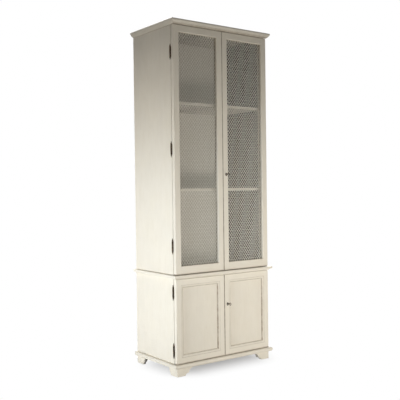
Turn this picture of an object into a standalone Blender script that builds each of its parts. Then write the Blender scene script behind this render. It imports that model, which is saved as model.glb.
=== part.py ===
"""A two-part china cabinet: panelled doors below, mesh doors above.

Metres, +Z up. The doors face -Y and the origin is on the floor, under the middle of the whole
cabinet. Every moving piece hangs from an empty on its own axis.
"""
import bpy
import bmesh
from math import cos, pi, sin
from mathutils import Matrix, Vector

# Clearances
FIT = 0.0003             # between pieces that touch
DOOR_GAP = 0.0025        # round the doors and between them
HINGE_GAP = 0.0034       # between a door's back and the front edge of the case
ARRIS = 0.0012           # worn edge of every board

# The two cases
CASE_WIDTH = 0.766
CASE_DEPTH = 0.450
SIDE_THICK = 0.020
BOTTOM_THICK = 0.018
SHELF_THICK = 0.019
BACK_THICK = 0.008
SHELF_SETBACK = 0.028    # from the front edge of the case to a shelf
LOWER_CASE_HEIGHT = 0.5355
UPPER_CASE_HEIGHT = 1.5675
LOWER_SPACE = 0.250      # clear height under the lower shelf
FIRST_SPACE = 0.506      # clear height under the first upper shelf
SECOND_SPACE = 0.535     # clear height between the two upper shelves

# The plinth with its bracket feet
PLINTH_HEIGHT = 0.078
PLINTH_THICK = 0.020
APRON_HEIGHT = 0.048     # from the floor to the lower edge between the feet
FOOT_FRONT_WIDTH = 0.064
FOOT_SIDE_WIDTH = 0.074
FOOT_SIDE_SHARE = 0.5    # runs of a foot's curves on the sides, against those on the front
FOOT_COVE_RUN = 0.020    # small hollow at the floor
FOOT_COVE_RISE = 0.016
FOOT_STEP_RUN = 0.006    # flat between the two hollows
FOOT_STEP_RISE = 0.002
FOOT_SWEEP_RUN = 0.040   # large hollow up to the apron
ARC_STEPS = 5

# Base moulding: a rounded nose with a set-in lower edge
BASE_HEIGHT = 0.0245
BASE_OUT = 0.0215
BASE_NOSE_RISE = 0.011   # from its lower edge up to its widest line
BASE_ROUND = 0.0094      # how far its rounded top runs in
BASE_UNDERCUT = 0.006

# Waist board: a rounded nose over a cove
WAIST_THICK = 0.026
WAIST_OUT = 0.0230
WAIST_NOSE = 0.0155      # height of the nose
WAIST_LIP = 0.006        # how far the nose stands over the cove
WAIST_FOOT = 0.0046      # how far the cove's lower edge stands out
WAIST_ROUND = 0.003

# Top board and its cornice: one bowed nose with a rounded top edge
TOP_THICK = 0.033
CORNICE_OUT = 0.0235
CORNICE_FOOT = 0.0040    # how far its lower edge stands out
CORNICE_BELLY_OUT = 0.0150   # where the bow's two end lines would meet
CORNICE_BELLY_RISE = 0.0065
CORNICE_ROUND_RUN = 0.0085   # rounded top edge
CORNICE_ROUND_RISE = 0.0095
COVE_STEPS = 4

# Doors
DOOR_THICK = 0.027
UPPER_STILE = 0.042
UPPER_TOP_RAIL = 0.043
UPPER_BOTTOM_RAIL = 0.0525
OPENING_CHAMFER = 0.003
MESH_SETBACK = 0.020     # from the door's face to the mesh
MESH_REBATE = 0.008      # how far the mesh reaches under the frame
MESH_WIRE = 0.003
MESH_ACROSS = 4          # diamonds
MESH_UP = 15
LOWER_STILE = 0.038
PANEL_QUIRK = 0.0015     # step from the frame down to its moulding
PANEL_MOULDING_WIDTH = 0.0165
PANEL_MOULDING_DEPTH = 0.0085
PANEL_REBATE = 0.008
PANEL_LIP = 0.0020       # thickness left at the moulding's inner edge
PANEL_THICK = 0.008

# Lift-off pin hinges
HINGE_HEIGHT = 0.102
KNUCKLE_RADIUS = 0.0052
SHOULDER_RADIUS = 0.0048  # half way up to the tip
TAPER_RADIUS = 0.0032     # where the finial starts
NECK_RADIUS = 0.0016
BEAD_RADIUS = 0.0022
FINIAL_LENGTH = 0.011
NECK_DROP = 0.0064        # below the tip
BEAD_DROP = 0.0037
KNUCKLE_PLAY = 0.0006    # between the knuckle and the cabinet's side
PIN_RADIUS = 0.0024
PIN_PLAY = 0.0003
PIN_LENGTH = 0.018
LEAF_WIDTH = 0.018
LEAF_HEIGHT = 0.032
LEAF_PLAY = 0.0004       # between the two leaves
UPPER_HINGE_INSET = 0.168
UPPER_HINGE_RISE = 0.178  # the lowest hinge, from the door's lower edge
LOWER_HINGE_INSET = 0.082
TURN_STEPS = 12

# Locks and keys on the right doors
UPPER_KEY_HEIGHT = 0.632  # above the door's lower edge
LOWER_KEY_HEIGHT = 0.3385
KEY_INSET = 0.0248        # from the door's meeting edge
KEY_OUT = 0.036           # in front of the door's face
BOW_RADIUS = 0.008
BOW_WIRE = 0.0019
STEM_RADIUS = 0.0024
STEM_PLAY = 0.0005
BIT_REACH = 0.0072
BIT_WIDTH = 0.0022
BIT_DEPTH = 0.0035
LOCK_EDGE = 0.0022        # from the door's meeting edge to the lock
LOCK_WALL = 0.0012
LOCK_PLAY = 0.0006
LOCK_DEPTH = 0.0105
BOLT_HEIGHT = 0.007
BOLT_DEPTH = 0.004

# Magnet catches for the left doors
MAGNET_WIDTH = 0.040
MAGNET_DEPTH = 0.012
MAGNET_HEIGHT = 0.014
MAGNET_INSET = 0.015      # from the door's meeting edge
MAGNET_GAP = 0.0009       # in front of the magnet, where the strike plate lies

# Planes and levels that follow from the sizes above
HALF = CASE_WIDTH / 2
INNER = HALF - SIDE_THICK
FRONT_REACH = max(KEY_OUT, WAIST_OUT, CORNICE_OUT, BASE_OUT)
DOOR_FRONT = (FRONT_REACH - DOOR_THICK - HINGE_GAP - CASE_DEPTH) / 2
DOOR_BACK = DOOR_FRONT + DOOR_THICK
CASE_FRONT = DOOR_BACK + HINGE_GAP
BACK = CASE_FRONT + CASE_DEPTH
HINGE_X = HALF + KNUCKLE_RADIUS + KNUCKLE_PLAY
HINGE_Y = DOOR_BACK + HINGE_GAP / 2
LOWER_BASE = PLINTH_HEIGHT
WAIST_BASE = LOWER_BASE + LOWER_CASE_HEIGHT
UPPER_BASE = WAIST_BASE + WAIST_THICK
TOP_BASE = UPPER_BASE + UPPER_CASE_HEIGHT
HEIGHT = TOP_BASE + TOP_THICK
KEY_X = DOOR_GAP / 2 + KEY_INSET

parts = None
cutters = None


def collection(name):
    """New collection in the scene."""
    made = bpy.data.collections.new(name)
    bpy.context.scene.collection.children.link(made)
    return made


def finish(name, colour, roughness, metallic):
    """Plain Principled material."""
    made = bpy.data.materials.new(name)
    made.use_nodes = True
    shader = made.node_tree.nodes["Principled BSDF"]
    shader.inputs["Base Color"].default_value = (*colour, 1.0)
    shader.inputs["Roughness"].default_value = roughness
    shader.inputs["Metallic"].default_value = metallic
    return made


def add_object(name, mesh, material=None, pivot=None):
    """Object in the cabinet's collection, hung from its pivot where it moves."""
    made = bpy.data.objects.new(name, mesh)
    parts.objects.link(made)
    if material and not mesh.materials:
        mesh.materials.append(material)
    if pivot:
        made.parent = pivot
        made.matrix_parent_inverse = Matrix.Translation(-pivot.location)
    return made


def mesh_from(bm, name):
    """Mesh from a finished bmesh, with its faces pointing out."""
    bmesh.ops.recalc_face_normals(bm, faces=bm.faces)
    mesh = bpy.data.meshes.new(name)
    bm.to_mesh(mesh)
    bm.free()
    return mesh


def make_cutter(name, mesh):
    """Guide object that only cuts or joins."""
    made = bpy.data.objects.new(name, mesh)
    cutters.objects.link(made)
    made.hide_render = True
    made.display_type = "WIRE"
    return made


def apply_boolean(target, tool, operation="DIFFERENCE"):
    """Boolean modifier on the target."""
    modifier = target.modifiers.new(tool.name, "BOOLEAN")
    modifier.operation = operation
    modifier.object = tool
    modifier.solver = "EXACT"


def box_mesh(name, low, high):
    """Box between two corners."""
    low, high = Vector(low), Vector(high)
    bm = bmesh.new()
    bmesh.ops.create_cube(bm, size=1.0)
    bmesh.ops.scale(bm, vec=high - low, verts=bm.verts)
    bmesh.ops.translate(bm, vec=(low + high) / 2, verts=bm.verts)
    return mesh_from(bm, name)


def board(name, low, high, material, pivot=None, arris=ARRIS):
    """Board with softened edges."""
    made = add_object(name, box_mesh(name, low, high), material, pivot)
    bevel = made.modifiers.new("arris", "BEVEL")
    bevel.width = arris
    bevel.segments = 1
    bevel.limit_method = "NONE"
    return made


def arc(centre, run, rise, steps=ARC_STEPS):
    """Quarter ellipse that starts upright beside its centre and ends level above it."""
    angles = [step * pi / 2 / steps for step in range(steps + 1)]
    return [(centre[0] - run * cos(angle), centre[1] + rise * sin(angle)) for angle in angles]


def bow(start, corner, end, steps):
    """Curve from start to end that leaves and arrives along the lines to a corner."""
    shares = [step / steps for step in range(steps + 1)]
    return [tuple((1 - t) ** 2 * a + 2 * t * (1 - t) * b + t ** 2 * c for a, b, c in zip(start, corner, end))
            for t in shares]


def outline_mesh(name, outline, place, shift):
    """Flat outline, placed by a function and extruded by a vector."""
    bm = bmesh.new()
    face = bm.faces.new([bm.verts.new(place(*point)) for point in outline])
    grown = bmesh.ops.extrude_face_region(bm, geom=[face])["geom"]
    moved = [item for item in grown if isinstance(item, bmesh.types.BMVert)]
    bmesh.ops.translate(bm, vec=shift, verts=moved)
    bmesh.ops.remove_doubles(bm, verts=bm.verts, dist=0.00001)
    return mesh_from(bm, name)


def ring_stack(name, rings, place):
    """Closed solid through rectangles, each given as level, low u, high u, low v and high v."""
    bm = bmesh.new()
    level, low_u, high_u, low_v, high_v = rings[0]
    corners = [(low_u, low_v), (high_u, low_v), (high_u, high_v), (low_u, high_v)]
    verts = [bm.verts.new(place(level, u, v)) for u, v in corners]
    face = first = bm.faces.new(verts)
    for level, low_u, high_u, low_v, high_v in rings[1:]:
        old = {tuple(vert.co): index for index, vert in enumerate(verts)}
        grown = bmesh.ops.extrude_face_region(bm, geom=[face])["geom"]
        if face is not first:
            bmesh.ops.delete(bm, geom=[face], context="FACES_ONLY")
        fresh = [item for item in grown if isinstance(item, bmesh.types.BMVert)]
        verts = sorted(fresh, key=lambda vert: old[tuple(vert.co)])
        face = bm.faces.get(verts)
        corners = [(low_u, low_v), (high_u, low_v), (high_u, high_v), (low_u, high_v)]
        for vert, (u, v) in zip(verts, corners):
            vert.co = place(level, u, v)
    return mesh_from(bm, name)


def turned_object(name, profile):
    """Profile of radius and height, top to bottom, turned round Z."""
    mesh = bpy.data.meshes.new(name)
    bm = bmesh.new()
    verts = [bm.verts.new((radius, 0, height)) for radius, height in profile]
    for upper, lower in zip(verts, verts[1:]):
        bm.edges.new((upper, lower))
    bm.to_mesh(mesh)
    bm.free()
    made = make_cutter(name, mesh)
    screw = made.modifiers.new("turned", "SCREW")
    screw.axis = "Z"
    screw.steps = TURN_STEPS
    screw.render_steps = TURN_STEPS
    screw.use_merge_vertices = True
    screw.merge_threshold = 0.00001
    screw.use_normal_calculate = True
    return made


def joined_mesh(name, pieces):
    """One mesh from guide objects that overlap; the guides are removed."""
    first = pieces[0]
    for other in pieces[1:]:
        apply_boolean(first, other, "UNION")
    evaluated = first.evaluated_get(bpy.context.evaluated_depsgraph_get())
    mesh = bpy.data.meshes.new_from_object(evaluated)
    mesh.name = name
    mesh.materials.clear()
    for piece in pieces:
        bpy.data.objects.remove(piece)
    return mesh


def pivot_empty(name, location):
    """Empty on a joint's axis."""
    made = bpy.data.objects.new(name, None)
    made.location = location
    made.empty_display_size = 0.05
    parts.objects.link(made)
    return made


def foot_curve(foot_width, share):
    """Inner edge of a bracket foot, from the floor up to the apron, by distance from the corner."""
    cove_end = foot_width + share * FOOT_COVE_RUN
    sweep_start = cove_end + share * FOOT_STEP_RUN
    sweep_base = FOOT_COVE_RISE + FOOT_STEP_RISE
    points = arc((cove_end, 0), share * FOOT_COVE_RUN, FOOT_COVE_RISE)
    sweep_end = sweep_start + share * FOOT_SWEEP_RUN
    points += arc((sweep_end, sweep_base), share * FOOT_SWEEP_RUN, APRON_HEIGHT - sweep_base)
    return points


def plinth_outline(low, high, low_corner, high_corner, foot_width, share=1.0):
    """Board from low to high with a foot at each outer corner of the cabinet."""
    curve = foot_curve(foot_width, share)
    left = [(low_corner + reach, height) for reach, height in curve]
    right = [(high_corner - reach, height) for reach, height in reversed(curve)]
    top = PLINTH_HEIGHT - FIT
    return [(low, 0)] + left + right + [(high, 0), (high, top), (low, top)]


def make_plinth(wood):
    """Four boards cut to bracket feet, and the moulding round three of them."""
    front_thick = DOOR_THICK + HINGE_GAP
    across = plinth_outline(-HALF, HALF, -HALF, HALF, FOOT_FRONT_WIDTH)
    for name, start, thick in (("plinth_front", DOOR_FRONT, front_thick),
                               ("plinth_back", BACK - PLINTH_THICK, PLINTH_THICK)):
        mesh = outline_mesh(name, across, lambda x, z: (x, start, z), (0, thick, 0))
        add_object(name, mesh, wood)
    low, high = DOOR_FRONT + front_thick + FIT, BACK - PLINTH_THICK - FIT
    along = plinth_outline(low, high, DOOR_FRONT, BACK, FOOT_SIDE_WIDTH, FOOT_SIDE_SHARE)
    for name, start in (("plinth_left", -HALF), ("plinth_right", HALF - PLINTH_THICK)):
        mesh = outline_mesh(name, along, lambda y, z: (start, y, z), (PLINTH_THICK, 0, 0))
        add_object(name, mesh, wood)


def make_strips(name, profile, wood):
    """Moulding along the front and both sides, mitred at the front corners."""
    front = bmesh.new()
    left_end = [front.verts.new((-HALF - out + FIT, DOOR_FRONT - out, z)) for out, z in profile]
    face = front.faces.new(left_end)
    for item in bmesh.ops.extrude_face_region(front, geom=[face])["geom"]:
        if isinstance(item, bmesh.types.BMVert):
            item.co.x = -item.co.x
    add_object(f"{name}_front", mesh_from(front, f"{name}_front"), wood)
    for side, sign in (("left", -1), ("right", 1)):
        strip = bmesh.new()
        mitre = [(sign * (HALF + out), DOOR_FRONT - out + FIT, z) for out, z in profile]
        face = strip.faces.new([strip.verts.new(point) for point in mitre])
        for item in bmesh.ops.extrude_face_region(strip, geom=[face])["geom"]:
            if isinstance(item, bmesh.types.BMVert):
                item.co.y = BACK
        add_object(f"{name}_{side}", mesh_from(strip, f"{name}_{side}"), wood)


def base_moulding_profile():
    """Distance out from the plinth and height, from the lower edge up."""
    top = PLINTH_HEIGHT - FIT
    low = top - BASE_HEIGHT
    nose = low + BASE_NOSE_RISE
    hollow = arc((BASE_ROUND, nose), BASE_ROUND, top - nose, COVE_STEPS)
    rounded = [(BASE_OUT - run, height) for run, height in hollow]
    return [(FIT, low), (BASE_OUT - BASE_UNDERCUT, low)] + rounded + [(FIT, top)]


def cornice_profile():
    """Distance out from the top board and height, from the lower edge up."""
    low = TOP_BASE + FIT
    widest = HEIGHT - CORNICE_ROUND_RISE
    belly = (CORNICE_BELLY_OUT, low + CORNICE_BELLY_RISE)
    bowed = bow((CORNICE_FOOT, low), belly, (CORNICE_OUT, widest), COVE_STEPS)
    rounded = arc((CORNICE_ROUND_RUN, widest), CORNICE_ROUND_RUN, CORNICE_ROUND_RISE, COVE_STEPS)
    top = [(CORNICE_OUT - run, height) for run, height in rounded[1:]]
    return [(FIT, low)] + bowed + top + [(FIT, HEIGHT)]


def make_waist(wood):
    """Board between the cases, moulded on three sides."""
    low, high = WAIST_BASE + FIT, UPPER_BASE - FIT
    nose = high - WAIST_NOSE
    lip = WAIST_OUT - WAIST_LIP
    steps = arc((lip, low), lip - WAIST_FOOT, nose - low, COVE_STEPS)
    steps += [(WAIST_OUT - WAIST_ROUND, nose), (WAIST_OUT, nose + WAIST_ROUND)]
    steps += [(WAIST_OUT, high - WAIST_ROUND), (WAIST_OUT - WAIST_ROUND, high)]
    rings = [(z, -HALF - out, HALF + out, DOOR_FRONT - out, BACK) for out, z in steps]
    add_object("waist_board", ring_stack("waist_board", rings, lambda z, x, y: (x, y, z)), wood)


def make_case(level, base, top, shelf_tops, wood):
    """Sides, bottom, back and shelves of one case."""
    low, high = base + FIT, top - FIT
    for side, sign in (("left", -1), ("right", 1)):
        inner, outer = sorted((sign * INNER, sign * HALF))
        board(f"{level}_side_{side}", (inner, CASE_FRONT, low), (outer, BACK, high), wood)
    reach = INNER - FIT
    panel = BACK - BACK_THICK
    board(f"{level}_bottom", (-reach, CASE_FRONT, low), (reach, panel - FIT, low + BOTTOM_THICK), wood)
    board(f"{level}_back", (-reach, panel, low), (reach, BACK, high), wood)
    for name, shelf_top in shelf_tops:
        corner = (-reach, CASE_FRONT + SHELF_SETBACK, shelf_top - SHELF_THICK)
        board(name, corner, (reach, panel - FIT, shelf_top), wood)


def make_cases(wood):
    """Both cases, the board over the upper one and the magnet catches."""
    lower_floor = LOWER_BASE + FIT + BOTTOM_THICK
    lower_shelf = lower_floor + LOWER_SPACE + SHELF_THICK
    make_case("lower", LOWER_BASE, WAIST_BASE, [("lower_shelf", lower_shelf)], wood)
    upper_floor = UPPER_BASE + FIT + BOTTOM_THICK
    first_shelf = upper_floor + FIRST_SPACE + SHELF_THICK
    second_shelf = first_shelf + SECOND_SPACE + SHELF_THICK
    shelves = [("upper_shelf_low", first_shelf), ("upper_shelf_high", second_shelf)]
    make_case("upper", UPPER_BASE, TOP_BASE, shelves, wood)
    board("top_board", (-HALF, DOOR_FRONT, TOP_BASE + FIT), (HALF, BACK, HEIGHT), wood)


def make_magnets(metal):
    """Catch under the board over each left door."""
    right = -DOOR_GAP / 2 - MAGNET_INSET
    front = DOOR_BACK + MAGNET_GAP
    for level, ceiling in (("lower", WAIST_BASE), ("upper", TOP_BASE)):
        low = (right - MAGNET_WIDTH, front, ceiling - MAGNET_HEIGHT)
        board(f"{level}_magnet_catch", low, (right, front + MAGNET_DEPTH, ceiling), metal, arris=ARRIS / 2)


def hinge_profile(half):
    """Half of a spindle-shaped hinge: the lower half holds the pin, the upper half its socket."""
    tip = HINGE_HEIGHT / 2
    seam = FIT / 2
    swell = [(KNUCKLE_RADIUS, seam), (SHOULDER_RADIUS, tip / 2), (TAPER_RADIUS, tip - FINIAL_LENGTH)]
    swell += [(NECK_RADIUS, tip - NECK_DROP), (BEAD_RADIUS, tip - BEAD_DROP), (0, tip)]
    if half == "case":
        pin = [(0, PIN_LENGTH), (PIN_RADIUS, PIN_LENGTH), (PIN_RADIUS, -seam)]
        return pin + [(radius, -height) for radius, height in swell]
    bore = PIN_RADIUS + PIN_PLAY
    socket = [(bore, seam), (bore, PIN_LENGTH + PIN_PLAY), (0, PIN_LENGTH + PIN_PLAY)]
    return swell[::-1] + socket


def hinge_mesh(half, sign):
    """Hinge half round its own axis, with its leaf towards the middle of the cabinet."""
    barrel = turned_object(f"{half}_barrel", hinge_profile(half))
    near = PIN_RADIUS + PIN_PLAY + (KNUCKLE_RADIUS - PIN_RADIUS - PIN_PLAY) / 2
    far = KNUCKLE_RADIUS + KNUCKLE_PLAY + LEAF_WIDTH
    low_x, high_x = sorted((-sign * near, -sign * far))
    inside, outside = LEAF_PLAY / 2, HINGE_GAP / 2 - FIT
    low_y, high_y = (inside, outside) if half == "case" else (-outside, -inside)
    low_z = -LEAF_HEIGHT - FIT if half == "case" else FIT
    leaf = box_mesh("leaf", (low_x, low_y, low_z), (high_x, high_y, low_z + LEAF_HEIGHT))
    return joined_mesh(f"hinge_{half}", [barrel, make_cutter("leaf", leaf)])


def make_hinges(level, heights, pivots, metal):
    """Pin hinges of one pair of doors."""
    for side, sign in (("left", -1), ("right", 1)):
        for half in ("case", "door"):
            mesh = hinge_mesh(half, sign)
            mesh.shade_smooth()
            mesh.set_sharp_from_angle(angle=pi / 5)
            for number, height in enumerate(heights, 1):
                pivot = pivots[side] if half == "door" else None
                made = add_object(f"hinge_{level}_{side}_{number}_{half}", mesh, metal, pivot)
                made.location = (sign * HINGE_X, HINGE_Y, height)


def frame_cutter(name, rings, door):
    """Cutter for a door's opening: rings of depth behind the face and inset from each edge."""
    low_x, high_x, low_z, high_z = door
    stack = []
    for depth, side, bottom, top in rings:
        rect = (low_x + side, high_x - side, low_z + bottom, high_z - top)
        stack.append((DOOR_FRONT + depth, *rect))
    return make_cutter(name, ring_stack(name, stack, lambda y, x, z: (x, y, z)))


def upper_opening_rings():
    """Chamfered opening, with a rebate for the mesh behind it."""
    insets = (UPPER_STILE, UPPER_BOTTOM_RAIL, UPPER_TOP_RAIL)
    steps = [(-OPENING_CHAMFER, -2 * OPENING_CHAMFER), (OPENING_CHAMFER, 0), (MESH_SETBACK, 0)]
    steps += [(MESH_SETBACK, -MESH_REBATE), (DOOR_THICK + OPENING_CHAMFER, -MESH_REBATE)]
    return [(depth, *(inset + grow for inset in insets)) for depth, grow in steps]


def lower_opening_rings():
    """Moulded edge that rounds in to the panel, with a rebate for the panel behind it."""
    inner = PANEL_MOULDING_WIDTH
    rounded = arc((PANEL_MOULDING_DEPTH, PANEL_QUIRK), PANEL_MOULDING_DEPTH - PANEL_QUIRK,
                  inner - PANEL_QUIRK, COVE_STEPS)
    seat = PANEL_MOULDING_DEPTH + PANEL_LIP
    rebate = inner - PANEL_REBATE
    steps = [(-PANEL_QUIRK, 0), (PANEL_QUIRK, 0)] + rounded
    steps += [(seat, inner), (seat, rebate), (DOOR_THICK + PANEL_QUIRK, rebate)]
    return [(depth, *([LOWER_STILE + inset] * 3)) for depth, inset in steps]


def cut_keyhole(frame, name, key_z):
    """Round hole with a slot below it, through the stile."""
    bore = STEM_RADIUS + STEM_PLAY
    slot = BIT_WIDTH / 2 + STEM_PLAY
    low_y, high_y = DOOR_FRONT - bore, DOOR_BACK + bore
    bm = bmesh.new()
    turn = Matrix.Translation((KEY_X, (low_y + high_y) / 2, key_z)) @ Matrix.Rotation(pi / 2, 4, "X")
    bmesh.ops.create_cone(bm, cap_ends=True, segments=TURN_STEPS, radius1=bore, radius2=bore,
                          depth=high_y - low_y, matrix=turn)
    apply_boolean(frame, make_cutter(f"{name}_bore", mesh_from(bm, f"{name}_bore")))
    low = (KEY_X - slot, low_y, key_z - BIT_REACH - STEM_PLAY)
    slot_mesh = box_mesh(f"{name}_slot", low, (KEY_X + slot, high_y, key_z))
    apply_boolean(frame, make_cutter(f"{name}_slot", slot_mesh))


def make_mesh_panel(name, low_x, high_x, low_z, high_z, metal, pivot):
    """Diamond mesh: a grid whose cells are poked and whose inner lines are dissolved."""
    depth = DOOR_FRONT + MESH_SETBACK + FIT + MESH_WIRE / 2
    middle = Vector(((low_x + high_x) / 2, depth, (low_z + high_z) / 2))
    bm = bmesh.new()
    bmesh.ops.create_grid(bm, x_segments=MESH_ACROSS, y_segments=MESH_UP, size=0.5)
    grid_lines = [edge for edge in bm.edges if not edge.is_boundary]
    bmesh.ops.poke(bm, faces=bm.faces)
    bmesh.ops.dissolve_edges(bm, edges=grid_lines, use_verts=False)
    bmesh.ops.scale(bm, vec=(high_x - low_x - MESH_WIRE, high_z - low_z - MESH_WIRE, 1), verts=bm.verts)
    bmesh.ops.rotate(bm, cent=(0, 0, 0), matrix=Matrix.Rotation(pi / 2, 3, "X"), verts=bm.verts)
    bmesh.ops.translate(bm, vec=middle, verts=bm.verts)
    panel = add_object(name, mesh_from(bm, name), metal, pivot)
    wire = panel.modifiers.new("strands", "WIREFRAME")
    wire.thickness = MESH_WIRE
    wire.use_boundary = True
    wire.use_replace = True
    wire.use_even_offset = False
    return panel


def make_doors(level, base, top, wood, metal):
    """Frames of one pair of doors; gives their pivots and the height of their lower edge."""
    low_z, high_z = base + DOOR_GAP, top - DOOR_GAP
    pivots = {}
    for side, sign in (("left", -1), ("right", 1)):
        name = f"{level}_door_{side}"
        low_x, high_x = sorted((sign * DOOR_GAP / 2, sign * HALF))
        pivot = pivot_empty(f"{name}_axis", (sign * HINGE_X, HINGE_Y, low_z))
        frame = board(f"{name}_frame", (low_x, DOOR_FRONT, low_z), (high_x, DOOR_BACK, high_z), wood, pivot)
        rings = upper_opening_rings() if level == "upper" else lower_opening_rings()
        apply_boolean(frame, frame_cutter(f"{name}_opening", rings, (low_x, high_x, low_z, high_z)))
        if level == "upper":
            reach = UPPER_STILE - MESH_REBATE + FIT
            make_mesh_panel(f"{name}_mesh", low_x + reach, high_x - reach,
                            low_z + UPPER_BOTTOM_RAIL - MESH_REBATE + FIT,
                            high_z - UPPER_TOP_RAIL + MESH_REBATE - FIT, metal, pivot)
        else:
            reach = LOWER_STILE + PANEL_MOULDING_WIDTH - PANEL_REBATE + FIT
            seat = DOOR_FRONT + PANEL_MOULDING_DEPTH + PANEL_LIP + FIT
            board(f"{name}_panel", (low_x + reach, seat, low_z + reach),
                  (high_x - reach, seat + PANEL_THICK, high_z - reach), wood, pivot, arris=ARRIS / 2)
        pivots[side] = pivot
    return pivots, low_z


def key_mesh():
    """Key with its stem along Y, its bow in front and its bit hanging down inside the lock."""
    bow_y = DOOR_FRONT - KEY_OUT + BOW_RADIUS + BOW_WIRE
    start, end = bow_y + BOW_RADIUS, DOOR_BACK + LOCK_PLAY + BOLT_DEPTH + BIT_DEPTH
    bpy.ops.mesh.primitive_torus_add(
        major_radius=BOW_RADIUS, minor_radius=BOW_WIRE, major_segments=2 * TURN_STEPS,
        minor_segments=TURN_STEPS, location=(0, bow_y, 0), rotation=(0, pi / 2, 0))
    ring = bpy.context.object
    bpy.ops.object.transform_apply(location=True, rotation=True)
    stem_bm = bmesh.new()
    turn = Matrix.Translation((0, (start + end) / 2, 0)) @ Matrix.Rotation(pi / 2, 4, "X")
    bmesh.ops.create_cone(stem_bm, cap_ends=True, segments=TURN_STEPS, radius1=STEM_RADIUS,
                          radius2=STEM_RADIUS, depth=end - start, matrix=turn)
    stem = make_cutter("stem", mesh_from(stem_bm, "stem"))
    bit_low = (-BIT_WIDTH / 2, end - LOCK_PLAY - BIT_DEPTH, -BIT_REACH)
    bit = make_cutter("bit", box_mesh("bit", bit_low, (BIT_WIDTH / 2, end - LOCK_PLAY, 0)))
    return joined_mesh("key", [ring, stem, bit])


def make_lock(level, key_z, pivot, key, metal):
    """Lock case on the back of a right door, its bolt and its key."""
    name = f"{level}_lock"
    seat = DOOR_BACK + FIT
    left = DOOR_GAP / 2 + LOCK_EDGE
    right = KEY_X + BIT_REACH + LOCK_PLAY + LOCK_WALL
    low = key_z - BIT_REACH - LOCK_PLAY - LOCK_WALL
    bolt_low = key_z + BIT_REACH + LOCK_PLAY
    bolt_high = bolt_low + BOLT_HEIGHT
    high = bolt_high + LOCK_PLAY + LOCK_WALL
    shell = box_mesh(f"{name}_case", (left, seat, low), (right, seat + LOCK_DEPTH, high))
    case = add_object(f"{name}_case", shell, metal, pivot)
    hollow = box_mesh(f"{name}_hollow", (left + LOCK_WALL, seat - LOCK_WALL, low + LOCK_WALL),
                      (right - LOCK_WALL, seat + LOCK_DEPTH - LOCK_WALL, high - LOCK_WALL))
    apply_boolean(case, make_cutter(f"{name}_hollow", hollow))
    bolt_front = seat + LOCK_DEPTH - LOCK_WALL - LOCK_PLAY - BOLT_DEPTH
    bolt_back = bolt_front + BOLT_DEPTH
    slot = box_mesh(f"{name}_slot", (left - LOCK_WALL, bolt_front - FIT, bolt_low - FIT),
                    (left + 2 * LOCK_WALL, bolt_back + FIT, bolt_high + FIT))
    apply_boolean(case, make_cutter(f"{name}_slot", slot))
    bolt_pivot = pivot_empty(f"{name}_bolt_slide", (left, bolt_front, bolt_low))
    bolt_end = right - LOCK_WALL - LOCK_PLAY
    board(f"{name}_bolt", (left, bolt_front, bolt_low), (bolt_end, bolt_back, bolt_high), metal, bolt_pivot,
          arris=ARRIS / 2)
    key_pivot = pivot_empty(f"{level}_key_axis", (KEY_X, DOOR_FRONT, key_z))
    made = add_object(f"{level}_key", key, metal, key_pivot)
    made.location = (KEY_X, 0, key_z)
    for moving in (bolt_pivot, key_pivot):
        moving.parent = pivot
        moving.matrix_parent_inverse = Matrix.Translation(-pivot.location)


def main():
    global parts, cutters
    for old in list(bpy.data.objects):
        bpy.data.objects.remove(old)
    parts = collection("china_cabinet")
    cutters = collection("cutters")
    wood = finish("cream_paint", (0.72, 0.67, 0.57), 0.55, 0.0)
    net = finish("greige_mesh", (0.40, 0.37, 0.32), 0.6, 0.3)
    bronze = finish("dark_bronze", (0.055, 0.045, 0.038), 0.45, 0.8)

    make_plinth(wood)
    make_strips("base_moulding", base_moulding_profile(), wood)
    make_waist(wood)
    make_cases(wood)
    make_strips("cornice", cornice_profile(), wood)
    make_magnets(bronze)

    lower_pivots, lower_edge = make_doors("lower", LOWER_BASE, WAIST_BASE, wood, net)
    upper_pivots, upper_edge = make_doors("upper", UPPER_BASE, TOP_BASE, wood, net)
    lower_top, upper_top = WAIST_BASE - DOOR_GAP, TOP_BASE - DOOR_GAP
    lower_heights = [lower_edge + LOWER_HINGE_INSET, lower_top - LOWER_HINGE_INSET]
    make_hinges("lower", lower_heights, lower_pivots, bronze)
    upper_heights = [upper_edge + UPPER_HINGE_RISE, upper_top - UPPER_HINGE_INSET]
    upper_heights.insert(1, sum(upper_heights) / 2)
    make_hinges("upper", upper_heights, upper_pivots, bronze)

    key = key_mesh()
    for level, edge, rise, pivots in (("lower", lower_edge, LOWER_KEY_HEIGHT, lower_pivots),
                                      ("upper", upper_edge, UPPER_KEY_HEIGHT, upper_pivots)):
        cut_keyhole(bpy.data.objects[f"{level}_door_right_frame"], f"{level}_keyhole", edge + rise)
        make_lock(level, edge + rise, pivots["right"], key, bronze)


main()
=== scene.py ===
# %% [markdown]
# # A painted china cabinet with mesh doors
#
# The imported cabinet is a plain frame of solids. This lesson dresses it, piece by piece, in one shared
# space: metres, +Z up, doors towards -Y. Every new piece is shaped where it stands and then rides on
# the body that carries it.

# %% Load the imported cabinet
from math import ceil, cos, pi, radians, sin

import bmesh
import bpy
from mathutils import Matrix, Vector


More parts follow.
